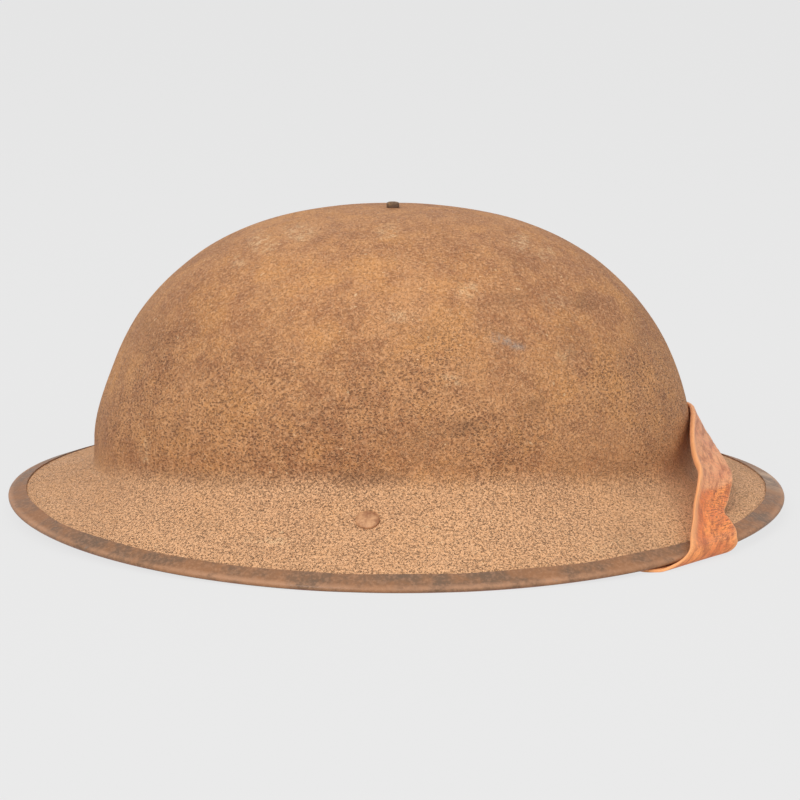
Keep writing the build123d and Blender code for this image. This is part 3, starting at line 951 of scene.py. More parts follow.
class Finishes:
    """Every finish of the helmet, made once."""

    def __init__(self) -> None:
        """Makes the materials."""
        self.shell = GritPaint().material()
        self.binding = BindingPaint().material()
        self.leather = StrapLeather().material()
        self.rivet = self.metal("rivet_paint", (204, 152, 108), (150, 100, 66), rusted=0.3)
        self.stub = self.metal("stub_metal", (150, 112, 66), (84, 60, 40), rusted=0.4)
        self.bracket = self.metal("bracket_paint", (118, 82, 58), (84, 58, 42))
        self.tinned = self.metal("tinned", (168, 162, 152), (126, 120, 112), metallic=0.8)
        self.wire = self.metal("wire", (132, 118, 106), (90, 76, 66), metallic=0.7)
        self.brass = self.metal("brass", (176, 142, 84), (128, 98, 56), metallic=0.9)
        self.rubber = self.cloth("rubber", (70, 62, 56), (46, 40, 36), 0.8, 0.0, 500.0)
        self.felt = self.cloth("felt", (150, 132, 108), (104, 88, 70), 0.95, 0.4, 900.0)
        self.oilcloth = self.cloth("oilcloth", (46, 42, 38), (26, 24, 22), 0.5, 0.05, 700.0)
        self.band = self.cloth("band_cloth", (66, 50, 40), (40, 30, 25), 0.6, 0.05, 800.0)
        self.twine = self.cloth("twine", (196, 172, 132), (140, 116, 84), 0.95, 0.3, 2000.0)

    @staticmethod
    def metal(name: str, bright: tuple, dull: tuple, **more: float) -> bpy.types.Material:
        """A metal finish from two screen colours, and what else differs from the plain one."""
        return DullMetal(name, colour(*bright), colour(*dull), **more).material()

    @staticmethod
    def cloth(name: str, light: tuple, dark: tuple, *fuzz: float) -> bpy.types.Material:
        """A soft finish from two screen colours, and its roughness, sheen and grains to a metre."""
        return Cloth(name, colour(*light), colour(*dark), *fuzz).material()


def add_piece(
    name: str,
    surface: Surface,
    body: str | None,
    material: bpy.types.Material,
    replaces: tuple = (),
    crease: float = 40.0,
) -> bpy.types.Object:
    """Makes a piece of the object from a surface.

    Args:
        name: the piece's name.
        surface: its closed surface in millimetres.
        body: the CAD body it rides on, or None for a piece that bends between bodies.
        material: its finish.
        replaces: CAD nodes that it stands for.
        crease: angle in degrees past which an edge shows sharp.

    Returns:
        The Blender object.
    """
    piece = bpy.data.objects.new(name, surface.mesh(name, crease))
    bpy.context.scene.collection.objects.link(piece)
    piece.data.materials.append(material)
    if body is not None:
        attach(piece, body)
    if replaces:
        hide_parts(*replaces)
    log.info("%s: %d points", name, len(surface.points))
    return piece


@dataclass(frozen=True)
class View:
    """The photograph's view of the helmet."""

    elevation: float = 10.4
    distance: float = 1150.0
    look_height: float = 50.9
    focal_pixels: float = 2915.0
    centre_x: float = 397.0
    centre_y: float = 374.4
    roll: float = 0.0029
    sensor: float = 36.0
    far_limit: float = 20.0

    @property
    def eye(self) -> np.ndarray:
        """The camera's place in millimetres."""
        e = math.radians(self.elevation)
        return np.array([0, -self.distance * math.cos(e), self.look_height + self.distance * math.sin(e)])

    def ray(self, x: float, y: float) -> np.ndarray:
        """The direction from the camera through a pixel of the photograph.

        Args:
            x, y: the pixel, from the photograph's upper left.

        Returns:
            A direction of length 1.
        """
        e = math.radians(self.elevation)
        forward = np.array([0, math.cos(e), -math.sin(e)])
        up = np.array([0, math.sin(e), math.cos(e)])
        across, down = x - self.centre_x, y - self.centre_y
        right = across * math.cos(self.roll) + down * math.sin(self.roll)
        below = down * math.cos(self.roll) - across * math.sin(self.roll)
        way = forward + (np.array([right, 0, 0]) - up * below) / self.focal_pixels
        return way / np.linalg.norm(way)

    def spot(self, x: float, y: float, depth: float) -> np.ndarray:
        """The point seen at a pixel of the photograph, on the upright plane at Y = depth."""
        way = self.ray(x, y)
        return self.eye + way * (depth - self.eye[1]) / way[1]

    def make_camera(self) -> bpy.types.Object:
        """Makes the scene's camera.

        Returns:
            The camera.
        """
        data = bpy.data.cameras.new("camera")
        data.sensor_width = self.sensor
        data.lens = self.focal_pixels / PHOTO_SIZE * self.sensor
        data.shift_x = (PHOTO_SIZE / 2 - self.centre_x) / PHOTO_SIZE
        data.shift_y = (self.centre_y - PHOTO_SIZE / 2) / PHOTO_SIZE
        data.clip_end = self.far_limit
        camera = bpy.data.objects.new("camera", data)
        camera.location = self.eye * MM
        tilt = Matrix.Rotation(math.radians(90 - self.elevation), 4, "X")
        camera.rotation_euler = (tilt @ Matrix.Rotation(self.roll, 4, "Z")).to_euler()
        bpy.context.scene.collection.objects.link(camera)
        bpy.context.scene.camera = camera
        return camera


VIEW = View()


class Mark(Enum):
    """What a mark on the paint is."""

    SCUFF = "scuffed"
    STAIN = "stained"
    BARE = "bared"


@dataclass
class Shell:
    """The pressed steel shell with its rough paint.

    A row of marks is a mark's kind, its pixel in the photograph, its half width and half
    height in the photograph's pixels, and its strength.
    """

    columns: int = 360
    dome_rows: int = 62
    flare_rows: int = 10
    brim_rows: int = 22
    hole: float = 1.75
    crowding: float = 1.15
    dent: float = 0.22
    dome_centre: float = 20.0
    back_lean: float = 3.0
    front_lean: float = 0.8
    lean_begins: tuple = (14.0, 24.0)
    lean_ends: tuple = (26.0, 58.0)
    mark_depth: float = 90.0
    marks: tuple = (
        (Mark.SCUFF, 262, 243, 16, 7, 1.0),
        (Mark.SCUFF, 300, 233, 20, 6, 0.8),
        (Mark.SCUFF, 240, 262, 9, 6, 0.7),
        (Mark.SCUFF, 388, 232, 13, 6, 0.7),
        (Mark.SCUFF, 521, 243, 11, 6, 1.0),
        (Mark.SCUFF, 546, 254, 9, 5, 0.9),
        (Mark.SCUFF, 468, 290, 13, 7, 0.9),
        (Mark.SCUFF, 400, 316, 17, 5, 0.8),
        (Mark.SCUFF, 555, 300, 15, 9, 0.6),
        (Mark.SCUFF, 452, 380, 10, 6, 1.0),
        (Mark.SCUFF, 565, 355, 11, 7, 0.6),
        (Mark.SCUFF, 145, 452, 5, 14, 0.9),
        (Mark.SCUFF, 270, 541, 26, 4, 0.9),
        (Mark.SCUFF, 610, 545, 26, 6, 0.6),
        (Mark.BARE, 496, 338, 8, 4, 0.8),
        (Mark.BARE, 506, 342, 8, 4, 1.0),
        (Mark.BARE, 517, 347, 8, 4, 1.0),
        (Mark.STAIN, 588, 300, 16, 9, 1.0),
        (Mark.STAIN, 180, 430, 11, 15, 0.7),
        (Mark.STAIN, 370, 478, 42, 10, 0.8),
        (Mark.STAIN, 462, 428, 22, 9, 1.0),
        (Mark.STAIN, 535, 405, 14, 10, 0.8),
        (Mark.STAIN, 505, 300, 30, 10, 0.6),
        (Mark.STAIN, 150, 335, 22, 26, 0.5),
        (Mark.STAIN, 640, 330, 12, 30, 0.5),
        (Mark.STAIN, 610, 470, 60, 8, 0.5),
        (Mark.STAIN, 210, 480, 50, 8, 0.5),
    )

    def loop(self) -> tuple[np.ndarray, np.ndarray]:
        """The wall's section, down the outside and back up the inside.

        Returns:
            Stations and depths.
        """
        start = FORM.ends.station_at_radius(self.hole)
        share = np.linspace(0, 1, self.dome_rows, endpoint=False) ** self.crowding
        dome = start + (1 - start) * share
        flare = 1 + np.linspace(0, 1, self.flare_rows, endpoint=False)
        brim = 2 + np.linspace(0, 1, self.brim_rows)
        down = np.concatenate([dome, flare, brim])
        depth = np.concatenate([np.zeros(len(down)), np.full(len(down), FORM.wall)])
        return np.concatenate([down, down[::-1]]), depth

    def surface(self) -> Surface:
        """The wall: each row of the section swept round the helmet, with slight unevenness.

        A point is the form's skin at its station, depth and azimuth, moved away from the
        dome's centre by the ripple of its place, so both skins keep their distance. Just above
        the brim the wall leans out a little at both ends, as the photograph's outline does.

        Returns:
            The shell's surface with the paint's values.
        """
        station, depth = self.loop()
        angle = np.linspace(0, 2 * math.pi, self.columns, endpoint=False)
        grid = FORM.skin(station[:, None], depth[:, None], angle[None, :])
        outer = FORM.skin(station[:, None], 0 * depth[:, None], angle[None, :])
        clear = smooth(station, 0.02, 0.2)[:, None] * (1 - smooth(station, 2.6, 2.8))[:, None]
        uneven = self.dent * clear * (0.6 * ripple(outer, 70.0, 3) + 0.4 * ripple(outer, 26.0, 4))
        away = outer - np.array([0, 0, self.dome_centre])
        grid = grid + away / np.linalg.norm(away, axis=-1)[..., None] * uneven[..., None]
        lean = smooth(outer[..., 2], *self.lean_begins) * (1 - smooth(outer[..., 2], *self.lean_ends))
        back = self.back_lean * smooth(-np.cos(angle), 0.5, 1.0)
        front = self.front_lean * smooth(np.cos(angle), 0.5, 1.0)
        grid[..., 0] -= lean * (back - front) * clear
        return ringed(grid, self.values(grid, station, depth))

    def values(self, grid: np.ndarray, station: np.ndarray, depth: np.ndarray) -> dict[str, np.ndarray]:
        """The paint's values at each point.

        Pits are strongest from the dome's middle down to the flare, grains on the brim, and
        the crown is worn smooth.

        Args:
            grid: the wall's points.
            station, depth: of each row.

        Returns:
            Arrays by name.
        """
        ones = np.ones(grid.shape[:2])
        outside = (depth == 0)[:, None] * ones
        cover = 0.5 + 0.5 * ripple(grid, 48.0, 9)
        drift = 0.10 * ripple(grid, 40.0, 5) + station[:, None]
        pitted = smooth(drift, 0.22, 0.88) * (1 - smooth(drift, 1.3, 2.3))
        pitted = pitted * (0.75 + 0.25 * smooth(cover, 0.2, 0.7))
        grainy = smooth(drift, 1.0, 1.75) * (0.8 + 0.2 * cover)
        values = {
            "pitted": np.maximum(pitted, 0.15) * outside,
            "grainy": np.maximum(grainy, 0.05) * outside,
            "smoothed": 1 - smooth(drift, 0.35, 0.75),
            "scuffed": 0.10 * smooth(ripple(grid, 30.0, 12), 0.5, 1.2) * outside,
            "stained": 0.35 * smooth(ripple(grid, 36.0, 13), 0.45, 1.2) * outside,
            "bared": 0 * ones,
        }
        self.draw_marks(values, grid, depth)
        return values

    def draw_marks(self, values: dict[str, np.ndarray], grid: np.ndarray, depth: np.ndarray) -> None:
        """Adds the marks to the values.

        A mark fades with the distance from where the photograph shows it, stretched as it is
        there, and stays on the side that the photograph shows.

        Args:
            values: arrays by name, changed in place.
            grid: the wall's points.
            depth: of each row.
        """
        outside = depth == 0
        tree = BVHTree.FromPolygons(
            grid[outside].reshape(-1, 3).tolist(),
            grid_quads(int(outside.sum()), self.columns, False, True).tolist(),
        )
        scale = VIEW.focal_pixels / VIEW.distance
        for mark, x, y, wide, high, strength in self.marks:
            hit = tree.ray_cast(tuple(VIEW.eye), tuple(VIEW.ray(x, y)))[0]
            if hit is None:
                log.warning("the mark at %d, %d misses the shell", x, y)
                continue
            offset = grid - np.array(hit)
            reach = np.hypot(offset[..., 0] * scale / wide, offset[..., 2] * scale / high)
            near = (1 - smooth(reach, 0.35, 1.25)) * (offset[..., 1] < self.mark_depth) * strength
            values[mark.value] = np.maximum(values[mark.value], near * outside[:, None])

    def build(self, finishes: Finishes) -> None:
        """Makes the shell."""
        skin = self.surface()
        add_piece("shell_skin", skin, ROOT_BODY, finishes.shell, ("shell",), 60.0)


@dataclass
class RimBinding:
    """The strip folded round the shell's raw edge, with its joint at the front."""

    leg: float = 6.4
    joint: float = 0.7
    joint_angle: float = 9.5
    columns: int = 420
    wave: float = 0.32
    bare_angle: float = 3.0
    bare_spread: float = 7.0
    bend_steps: int = 9
    leg_steps: int = 5

    def surface(self) -> Surface:
        """The strip's section swept round the rim.

        The section is a U: a leg, a half circle and a leg on its outer face, and the same back
        along its inner face. The legs' ends wander a little, as a hand-closed fold does.

        Returns:
            The binding's surface with the paint's values.
        """
        gap = self.joint / 2 / FORM.ends.reach
        start = math.radians(self.joint_angle)
        angle = np.linspace(start + gap, start + 2 * math.pi - gap, self.columns)[:, None]
        legs = np.linspace(1, 0, self.leg_steps)
        flat = np.ones(self.leg_steps)
        turns = np.radians(np.linspace(90, -90, self.bend_steps))
        faces = []
        for radius in (FORM.edge, FORM.wall / 2 + FORM.slack):
            upper = np.stack([legs * self.leg, radius * flat], axis=-1)
            bend = np.stack([-radius * np.cos(turns), radius * np.sin(turns)], axis=-1)[1:-1]
            lower = np.stack([legs[::-1] * self.leg, -radius * flat], axis=-1)
            faces.append(np.vstack([upper, bend, lower]))
        section = np.vstack([faces[0], faces[1][::-1]])
        turn = angle[:, 0]
        around = np.stack([np.cos(turn), np.sin(turn), 0 * turn], axis=-1) * FORM.ends.reach
        ends = smooth(section[:, 0] / self.leg, 0.5, 1.0)
        wander = self.wave * ripple(around, 45.0, 21)[:, None] * ends
        up = np.tile(section[:, 1], (len(angle), 1))
        grid = FORM.rim_spot(section[:, 0] + wander, up, angle)
        grid[..., 2] = np.maximum(grid[..., 2], 0)
        fold = 1 - smooth(np.abs(section[:, 0] + 0.3), 0.2, 1.2)
        degrees = np.degrees(angle - 2 * math.pi * (angle > math.pi))
        near_joint = np.exp(-(((degrees - self.bare_angle) / self.bare_spread) ** 2))
        values = {
            "fold": fold * (0.7 + 0.3 * ripple(around, 60.0, 22)[:, None]),
            "under": (up < -0.3).astype(float),
            "bare": near_joint * (up > 0),
        }
        return rodded(grid, values)

    def build(self, finishes: Finishes) -> None:
        """Makes the binding."""
        piece = self.surface()
        add_piece("binding_strip", piece, ROOT_BODY, finishes.binding, ("rim_binding",))


def lathe(
    profile: np.ndarray, origin: np.ndarray, axes: np.ndarray, sides: int = 48, square: float = 2.0
) -> Surface:
    """A turned solid: a half profile of radius and height carried round an axis.

    Args:
        profile: radius and height from the top's middle to the bottom's middle, ends off the axis.
        origin: where radius and height are 0.
        axes: rows of two directions across the axis and the axis itself.
        sides: points round.
        square: 2 for a round section; more makes a rounded square, as a superellipse.

    Returns:
        The surface.
    """
    turn = np.linspace(0, 2 * math.pi, sides, endpoint=False)
    c, s = np.cos(turn), np.sin(turn)
    size = (np.abs(c) ** square + np.abs(s) ** square) ** (-1 / square)
    across = np.stack([c * size, s * size], axis=-1)
    grid = profile[:, None, :1] * (across @ axes[:2])[None] + profile[:, None, 1:] * axes[2] + origin
    return rodded(grid)


def domed(radius: float, base: float, rise: float, count: int = 9) -> np.ndarray:
    """Half profile of a low dome, a quarter ellipse from just off its axis down to its edge.

    Args:
        radius: the dome's radius.
        base: height of its edge.
        rise: height of its top above the edge.
        count: points.

    Returns:
        Radius and height rows.
    """
    off_axis = 0.06
    turn = np.linspace(math.pi / 2 - off_axis, 0, count)
    return np.stack([radius * np.cos(turn), base + rise * np.sin(turn)], axis=-1)


@dataclass
class Rivets:
    """The crown's stub and the two side rivets with their low round heads."""

    stub: float = 2.5
    stub_height: float = 2.2
    stub_side_share: float = 0.62
    stub_shank: float = 1.6
    stub_tail: float = 3.2
    stub_tail_height: float = 1.0
    head_radius: float = 4.3
    head_height: float = 1.7
    head_edge: float = 0.4
    shank: float = 2.0
    tail_radius: float = 3.1
    tail: float = 0.9
    grip: float = 3.35
    seat: float = 0.1
    station: float = 2.23
    behind_middle: float = 10.0
    step: float = 0.01
    tip: float = 0.1

    def crown(self) -> Surface:
        """A stub with a rounded square head, a shank and a round tail, between its CAD node's ends.

        Returns:
            The rivet.
        """
        low, high = (corner[2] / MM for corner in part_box("crown_rivet"))
        under = high - self.stub_height
        foot = low + self.stub_tail_height
        side = self.stub_height * self.stub_side_share
        rest = [
            [self.stub, under],
            [self.stub_shank, under - self.step],
            [self.stub_shank, foot],
            [self.stub_tail - 0.1, foot],
            [self.stub_tail, low + 0.3],
            [self.stub_tail - 0.6, low],
            [self.tip * 2, low],
        ]
        profile = np.vstack([domed(self.stub, under + side, self.stub_height - side), rest])
        return lathe(profile, np.array([-FORM.set_back, 0, 0]), np.eye(3), 40, 4.0)

    def side_frame(self, side: Side) -> tuple[np.ndarray, np.ndarray]:
        """The underside point of the rivet's hole and the axes there.

        The hole is at a station of the brim, behind the helmet's middle.

        Args:
            side: the helmet's side.

        Returns:
            The point, and directions along the rim, across the brim and out of it.
        """
        behind = math.asin(self.behind_middle / FORM.ends.at(self.station, 0)[0])
        angle = side.value * (math.pi / 2 + behind)
        spot = FORM.skin(self.station, FORM.wall, angle)
        step = math.radians(0.5)
        first, second = (FORM.skin(self.station, FORM.wall, angle + turn) for turn in (step, -step))
        along = (first - second) * -side.value
        along[2] = 0
        along /= np.linalg.norm(along)
        out = FORM.skin(self.station, 0.0, angle) - spot
        out -= along * (out @ along)
        out /= np.linalg.norm(out)
        return spot, np.stack([along, np.cross(out, along), out])

    def side(self, side: Side) -> Surface:
        """A turned rivet: low dome, shank and tail.

        Args:
            side: the helmet's side.

        Returns:
            The rivet.
        """
        spot, axes = self.side_frame(side)
        base = FORM.wall + self.seat
        low = base - self.grip
        rest = [
            [self.head_radius, base],
            [self.shank, base - self.step],
            [self.shank, low],
            [self.tail_radius, low],
            [self.tail_radius * 0.9, low - self.tail * 0.8],
            [self.tail_radius * 0.6, low - self.tail],
            [self.tip, low - self.tail],
        ]
        head = domed(self.head_radius, base + self.head_edge, self.head_height - self.head_edge, 12)
        return lathe(np.vstack([head, rest]), spot, axes)

    def build(self, finishes: Finishes) -> None:
        """Makes the three rivets.

        Args:
            finishes: the helmet's finishes.
        """
        add_piece("crown_stub", self.crown(), ROOT_BODY, finishes.stub, ("crown_rivet",))
        for side, name in ((Side.NEAR, "right"), (Side.FAR, "left")):
            node = f"{name}_bracket_rivet"
            add_piece(f"{name}_rivet", self.side(side), ROOT_BODY, finishes.rivet, (node,))


@dataclass
class Liner:
    """The cloth cap, the band, the net and its cord, and the pads under the crown."""

    band_low_share: float = 0.324
    band_high_share: float = 0.58
    net_low_share: float = 0.35
    band_low: float = FORM.shell_height * band_low_share
    band_high: float = FORM.shell_height * band_high_share
    band_depth: float = 14.4
    band_thickness: float = 1.2
    cap_depth: float = 7.36
    cap_thickness: float = 0.8
    cap_clearance: float = 0.3
    cap_overlap: float = 6.0
    cap_mouth: float = 1.9
    cap_pleats: int = 36
    cap_pleat_depth: float = 0.35
    net_depth: float = 17.0
    net_thickness: float = 1.6
    net_low: float = FORM.shell_height * net_low_share
    net_drop: float = 23.0
    net_mouth: float = 20.0
    net_strands: int = 44
    net_slant: float = 0.95
    net_sway: float = 0.35
    twine: float = 0.62
    hem_share: float = 1.3
    mouth_share: float = 1.2
    cord_radius: float = 1.1
    cord_winds: int = 26
    cushion_radius: float = 21.0
    pad_radius: float = 36.0
    pad_crown: float = 3.2
    waste_share: float = 1.05
    felt_rounding: float = 1.8
    felt_unevenness: float = 0.012
    columns: int = 216

    def cap(self) -> Surface:
        """The cloth cap: a hung dome with fine gathers that fan out from its middle.

        The gathers are a cosine of the azimuth times their number, and grow from the middle
        to the wall, inwards only.

        Returns:
            The cap.
        """
        angle = np.linspace(0, 2 * math.pi, self.columns * 2, endpoint=False)[None, :]
        share = np.linspace(0, 1, 34)[:, None]
        wall = self.band_depth - self.cap_clearance - self.cap_thickness
        wobble = 0.5 + 0.5 * np.cos(self.cap_pleats * angle + 0.8 * np.sin(5 * angle))
        gather = self.cap_pleat_depth * wobble * smooth(share, 0.1, 0.5) * (1 - smooth(share, 0.8, 1.0))
        skins = []
        for extra in (0.0, self.cap_thickness):
            dome = FORM.hung(
                share, extra + gather, self.cap_mouth, self.cap_depth, wall, self.band_high, angle
            )
            low = FORM.dome_spot(self.band_high - self.cap_overlap, wall + extra + 0 * angle, angle)
            skins.append(np.vstack([dome, low]))
        return ringed(np.vstack([skins[0], skins[1][::-1]]))

    def band(self) -> Surface:
        """The head band: a wall that follows the dome at an even depth.

        Returns:
            The band.
        """
        angle = np.linspace(0, 2 * math.pi, self.columns, endpoint=False)[None, :]
        levels = np.linspace(self.band_low, self.band_high, 12)
        inner = self.band_depth + self.band_thickness
        rows = [FORM.dome_spot(z, self.band_depth + 0 * angle, angle) for z in levels]
        rows += [FORM.dome_spot(z, inner + 0 * angle, angle) for z in levels[::-1]]
        return ringed(np.vstack(rows))

    def net(self) -> Surface:
        """The twine net: two sets of slanting strands that cross, and cords round its foot and mouth.

        A strand climbs the hung dome while its azimuth turns by the slant, one set each way.

        Returns:
            The net.
        """
        share = np.linspace(0.0, 1.0, 26)
        middle = self.net_thickness / 2
        depth = self.net_depth + middle
        dome = (self.net_mouth, self.net_drop, self.net_depth, self.band_high)
        strands = []
        for way in (1, -1):
            for number in range(self.net_strands):
                start = 2 * math.pi * number / self.net_strands
                angle = start + way * self.net_slant * (1 - share) ** 0.8
                sway = self.net_sway * way * np.cos(self.net_strands * (1 - share) * self.net_slant)
                path = FORM.hung(share, middle + sway, *dome, angle)
                foot = FORM.dome_spot(self.net_low, depth, angle[-1:])
                strands.append(tube(np.vstack([path, foot]), self.twine, 6, False))
        around = np.linspace(0, 2 * math.pi, self.columns, endpoint=False)
        hem = FORM.dome_spot(self.net_low, depth, around)
        mouth = FORM.hung(0.0, middle, *dome, around)
        strands.append(tube(hem, self.twine * self.hem_share, 8, True))
        strands.append(tube(mouth, self.twine * self.mouth_share, 8, True))
        return joined(strands)

    def cord(self) -> Surface:
        """The draw cord: a twisted pair of strands round the net's mouth.

        Each strand winds round the ring with a radius that is half the cord's.

        Returns:
            The cord.
        """
        low, high = (np.array(corner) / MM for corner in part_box("draw_cord"))
        middle = (low + high) / 2
        ring = (high[0] - low[0]) / 2 - (high[2] - low[2]) / 2
        turn = np.linspace(0, 2 * math.pi, 400, endpoint=False)
        strands = []
        for phase in (0, math.pi):
            wind = self.cord_winds * turn + phase
            r = ring + self.cord_radius * 0.5 * np.cos(wind)
            z = self.cord_radius * 0.5 * np.sin(wind)
            path = middle + np.stack([r * np.cos(turn), r * np.sin(turn), z], axis=-1)
            strands.append(tube(path, self.cord_radius * 0.55, 8, True))
        return joined(strands)

    def disc(self, node: str, radius: float, crown: float) -> Surface:
        """A soft disc in its CAD node's box, with rounded edges, a crowned underside and uneven felt.

        Args:
            node: the CAD node it stands for.
            radius: its radius.
            crown: how much of its height the underside bulges.

        Returns:
            The surface.
        """
        low, high = (np.array(corner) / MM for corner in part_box(node))
        height = high[2] - low[2]
        edge = height - crown
        rounding = min(edge * 0.45, self.felt_rounding)
        profile = [[0.2, high[2]], [radius * 0.4, high[2]], [radius * 0.75, high[2]]]
        for turn in np.linspace(0, math.pi / 2, 5):
            profile.append(
                [radius - rounding * (1 - math.sin(turn)), high[2] - rounding * (1 - math.cos(turn))]
            )
        for share in np.linspace(1, 0.01, 10):
            profile.append([radius * share, high[2] - edge - crown * (1 - share**2)])
        surface = lathe(np.array(profile), np.array([-FORM.set_back, 0, 0]), np.eye(3), 72)
        centre = surface.points - np.array([-FORM.set_back, 0, high[2] - height / 2])
        shrink = self.felt_unevenness * (1 + ripple(surface.points, 9.0, 31))
        surface.points = surface.points - centre * shrink[:, None]
        return surface

    def build(self, finishes: Finishes) -> None:
        """Makes the liner's soft pieces.

        The cap's flat sheet has half the area of its closed mesh, and 5 % more on each side
        for the waste at the corners.

        Args:
            finishes: the helmet's finishes.
        """
        dome = self.cap()
        cap = add_piece("oilcloth_cap", dome, ROOT_BODY, finishes.oilcloth, ("liner_cap",))
        add_piece("band", self.band(), ROOT_BODY, finishes.band, ("head_band",))
        add_piece("twine_net", self.net(), ROOT_BODY, finishes.twine, ("head_net",), 80.0)
        add_piece("net_cord", self.cord(), ROOT_BODY, finishes.twine, ("draw_cord",), 80.0)
        for node, name, radius, crown in (
            ("crown_cushion", "felt_cushion", self.cushion_radius, 0.0),
            ("crown_pad", "felt_pad", self.pad_radius, self.pad_crown),
        ):
            disc = self.disc(node, radius, crown)
            add_piece(name, disc, ROOT_BODY, finishes.felt, (node,))


@dataclass
class Bail:
    """A wire loop that swings in its bracket and carries one end of the chin strap."""

    side: Side
    body: str
    joint: str
    angle: float
    wire: float = 1.25
    half_width: float = 14.0
    length: float = 27.0
    corner: float = 3.0
    strap_offset: float = 14.0
    run_step: float = 2.5

    def hinge(self) -> tuple[np.ndarray, np.ndarray]:
        """The hinge, from the frame's joint.

        Returns:
            Its place and its direction towards the front.
        """
        joint = next(j for j in frame["joints"] if j["name"] == self.joint)
        along = np.array(joint["axis"], float)
        return np.array(joint["pos_m"], float) / MM, along / np.linalg.norm(along) * np.sign(along[0])

    def axes(self) -> tuple[np.ndarray, np.ndarray, np.ndarray]:
        """The loop's directions at rest.

        Returns:
            Along the hinge, down the legs and square to both.
        """
        along = self.hinge()[1]
        out = np.array([along[1], -along[0], 0]) * -self.side.value
        turn = math.radians(self.angle)
        legs = out * math.cos(turn) + np.array([0, 0, -math.sin(turn)])
        return along, legs, np.cross(along, legs)

    def surface(self) -> Surface:
        """The wire: a rounded rectangle of straight runs and quarter circles.

        Returns:
            The wire.
        """
        place, _ = self.hinge()
        along, legs, normal = self.axes()
        reach, c = self.half_width - self.corner, self.corner
        foot = self.length - c
        turn = np.radians(np.linspace(0, 90, 8))
        outline = []
        for x, y, start in ((reach, foot, 0), (-reach, foot, 90), (-reach, c, 180), (reach, c, 270)):
            bend = math.radians(start) + turn
            outline.append(np.stack([x + c * np.cos(bend), y + c * np.sin(bend)], axis=-1))
        corners = np.vstack(outline)
        path = []
        for first, second in zip(corners, np.roll(corners, -1, axis=0)):
            steps = max(1, int(np.linalg.norm(second - first) / self.run_step))
            path.append(first + (second - first) * np.linspace(0, 1, steps, endpoint=False)[:, None])
        flat = np.vstack(path)
        points = place + flat[:, :1] * along + flat[:, 1:] * legs
        ahead = np.roll(points, -1, axis=0) - np.roll(points, 1, axis=0)
        out = np.cross(ahead / np.linalg.norm(ahead, axis=1)[:, None], normal)
        turn = np.linspace(0, 2 * math.pi, 16, endpoint=False)[None, :, None]
        section = np.cos(turn) * out[:, None] + np.sin(turn) * normal
        return ringed(points[:, None] + self.wire * section)

    def strap_frame(self, fall: float) -> tuple[np.ndarray, np.ndarray, np.ndarray, np.ndarray]:
        """The strap's place on the front leg: origin, forward, along the leg, and up.

        Args:
            fall: degrees by which the strap leaves the leg below the hinge's direction.

        Returns:
            The origin and the three directions.
        """
        place, _ = self.hinge()
        along, legs, square = self.axes()
        origin = place + self.half_width * along + self.strap_offset * legs
        up = square if square[2] > 0 else -square
        turn = math.radians(fall)
        forward = along * math.cos(turn) - up * math.sin(turn)
        up = up * math.cos(turn) + along * math.sin(turn)
        return origin, forward, legs, up

    def build(self, finishes: Finishes) -> None:
        """Makes the bail."""
        surface = self.surface()
        add_piece(f"{self.body}_wire", surface, self.body, finishes.wire, (self.body,), 80.0)


@dataclass
class Section:
    """The strap at one place: its two edges' middles, its face's normal and its thickness."""

    inner: np.ndarray
    outer: np.ndarray
    normal: np.ndarray
    thickness: float


@dataclass
class Course:
    """The strap's course, evenly spaced along its middle line: its sections joined by smooth lines.

    along is each row's distance from the near end, and knots that of each section.
    """

    inner: np.ndarray
    outer: np.ndarray
    normal: np.ndarray
    thick: np.ndarray
    along: np.ndarray
    knots: np.ndarray


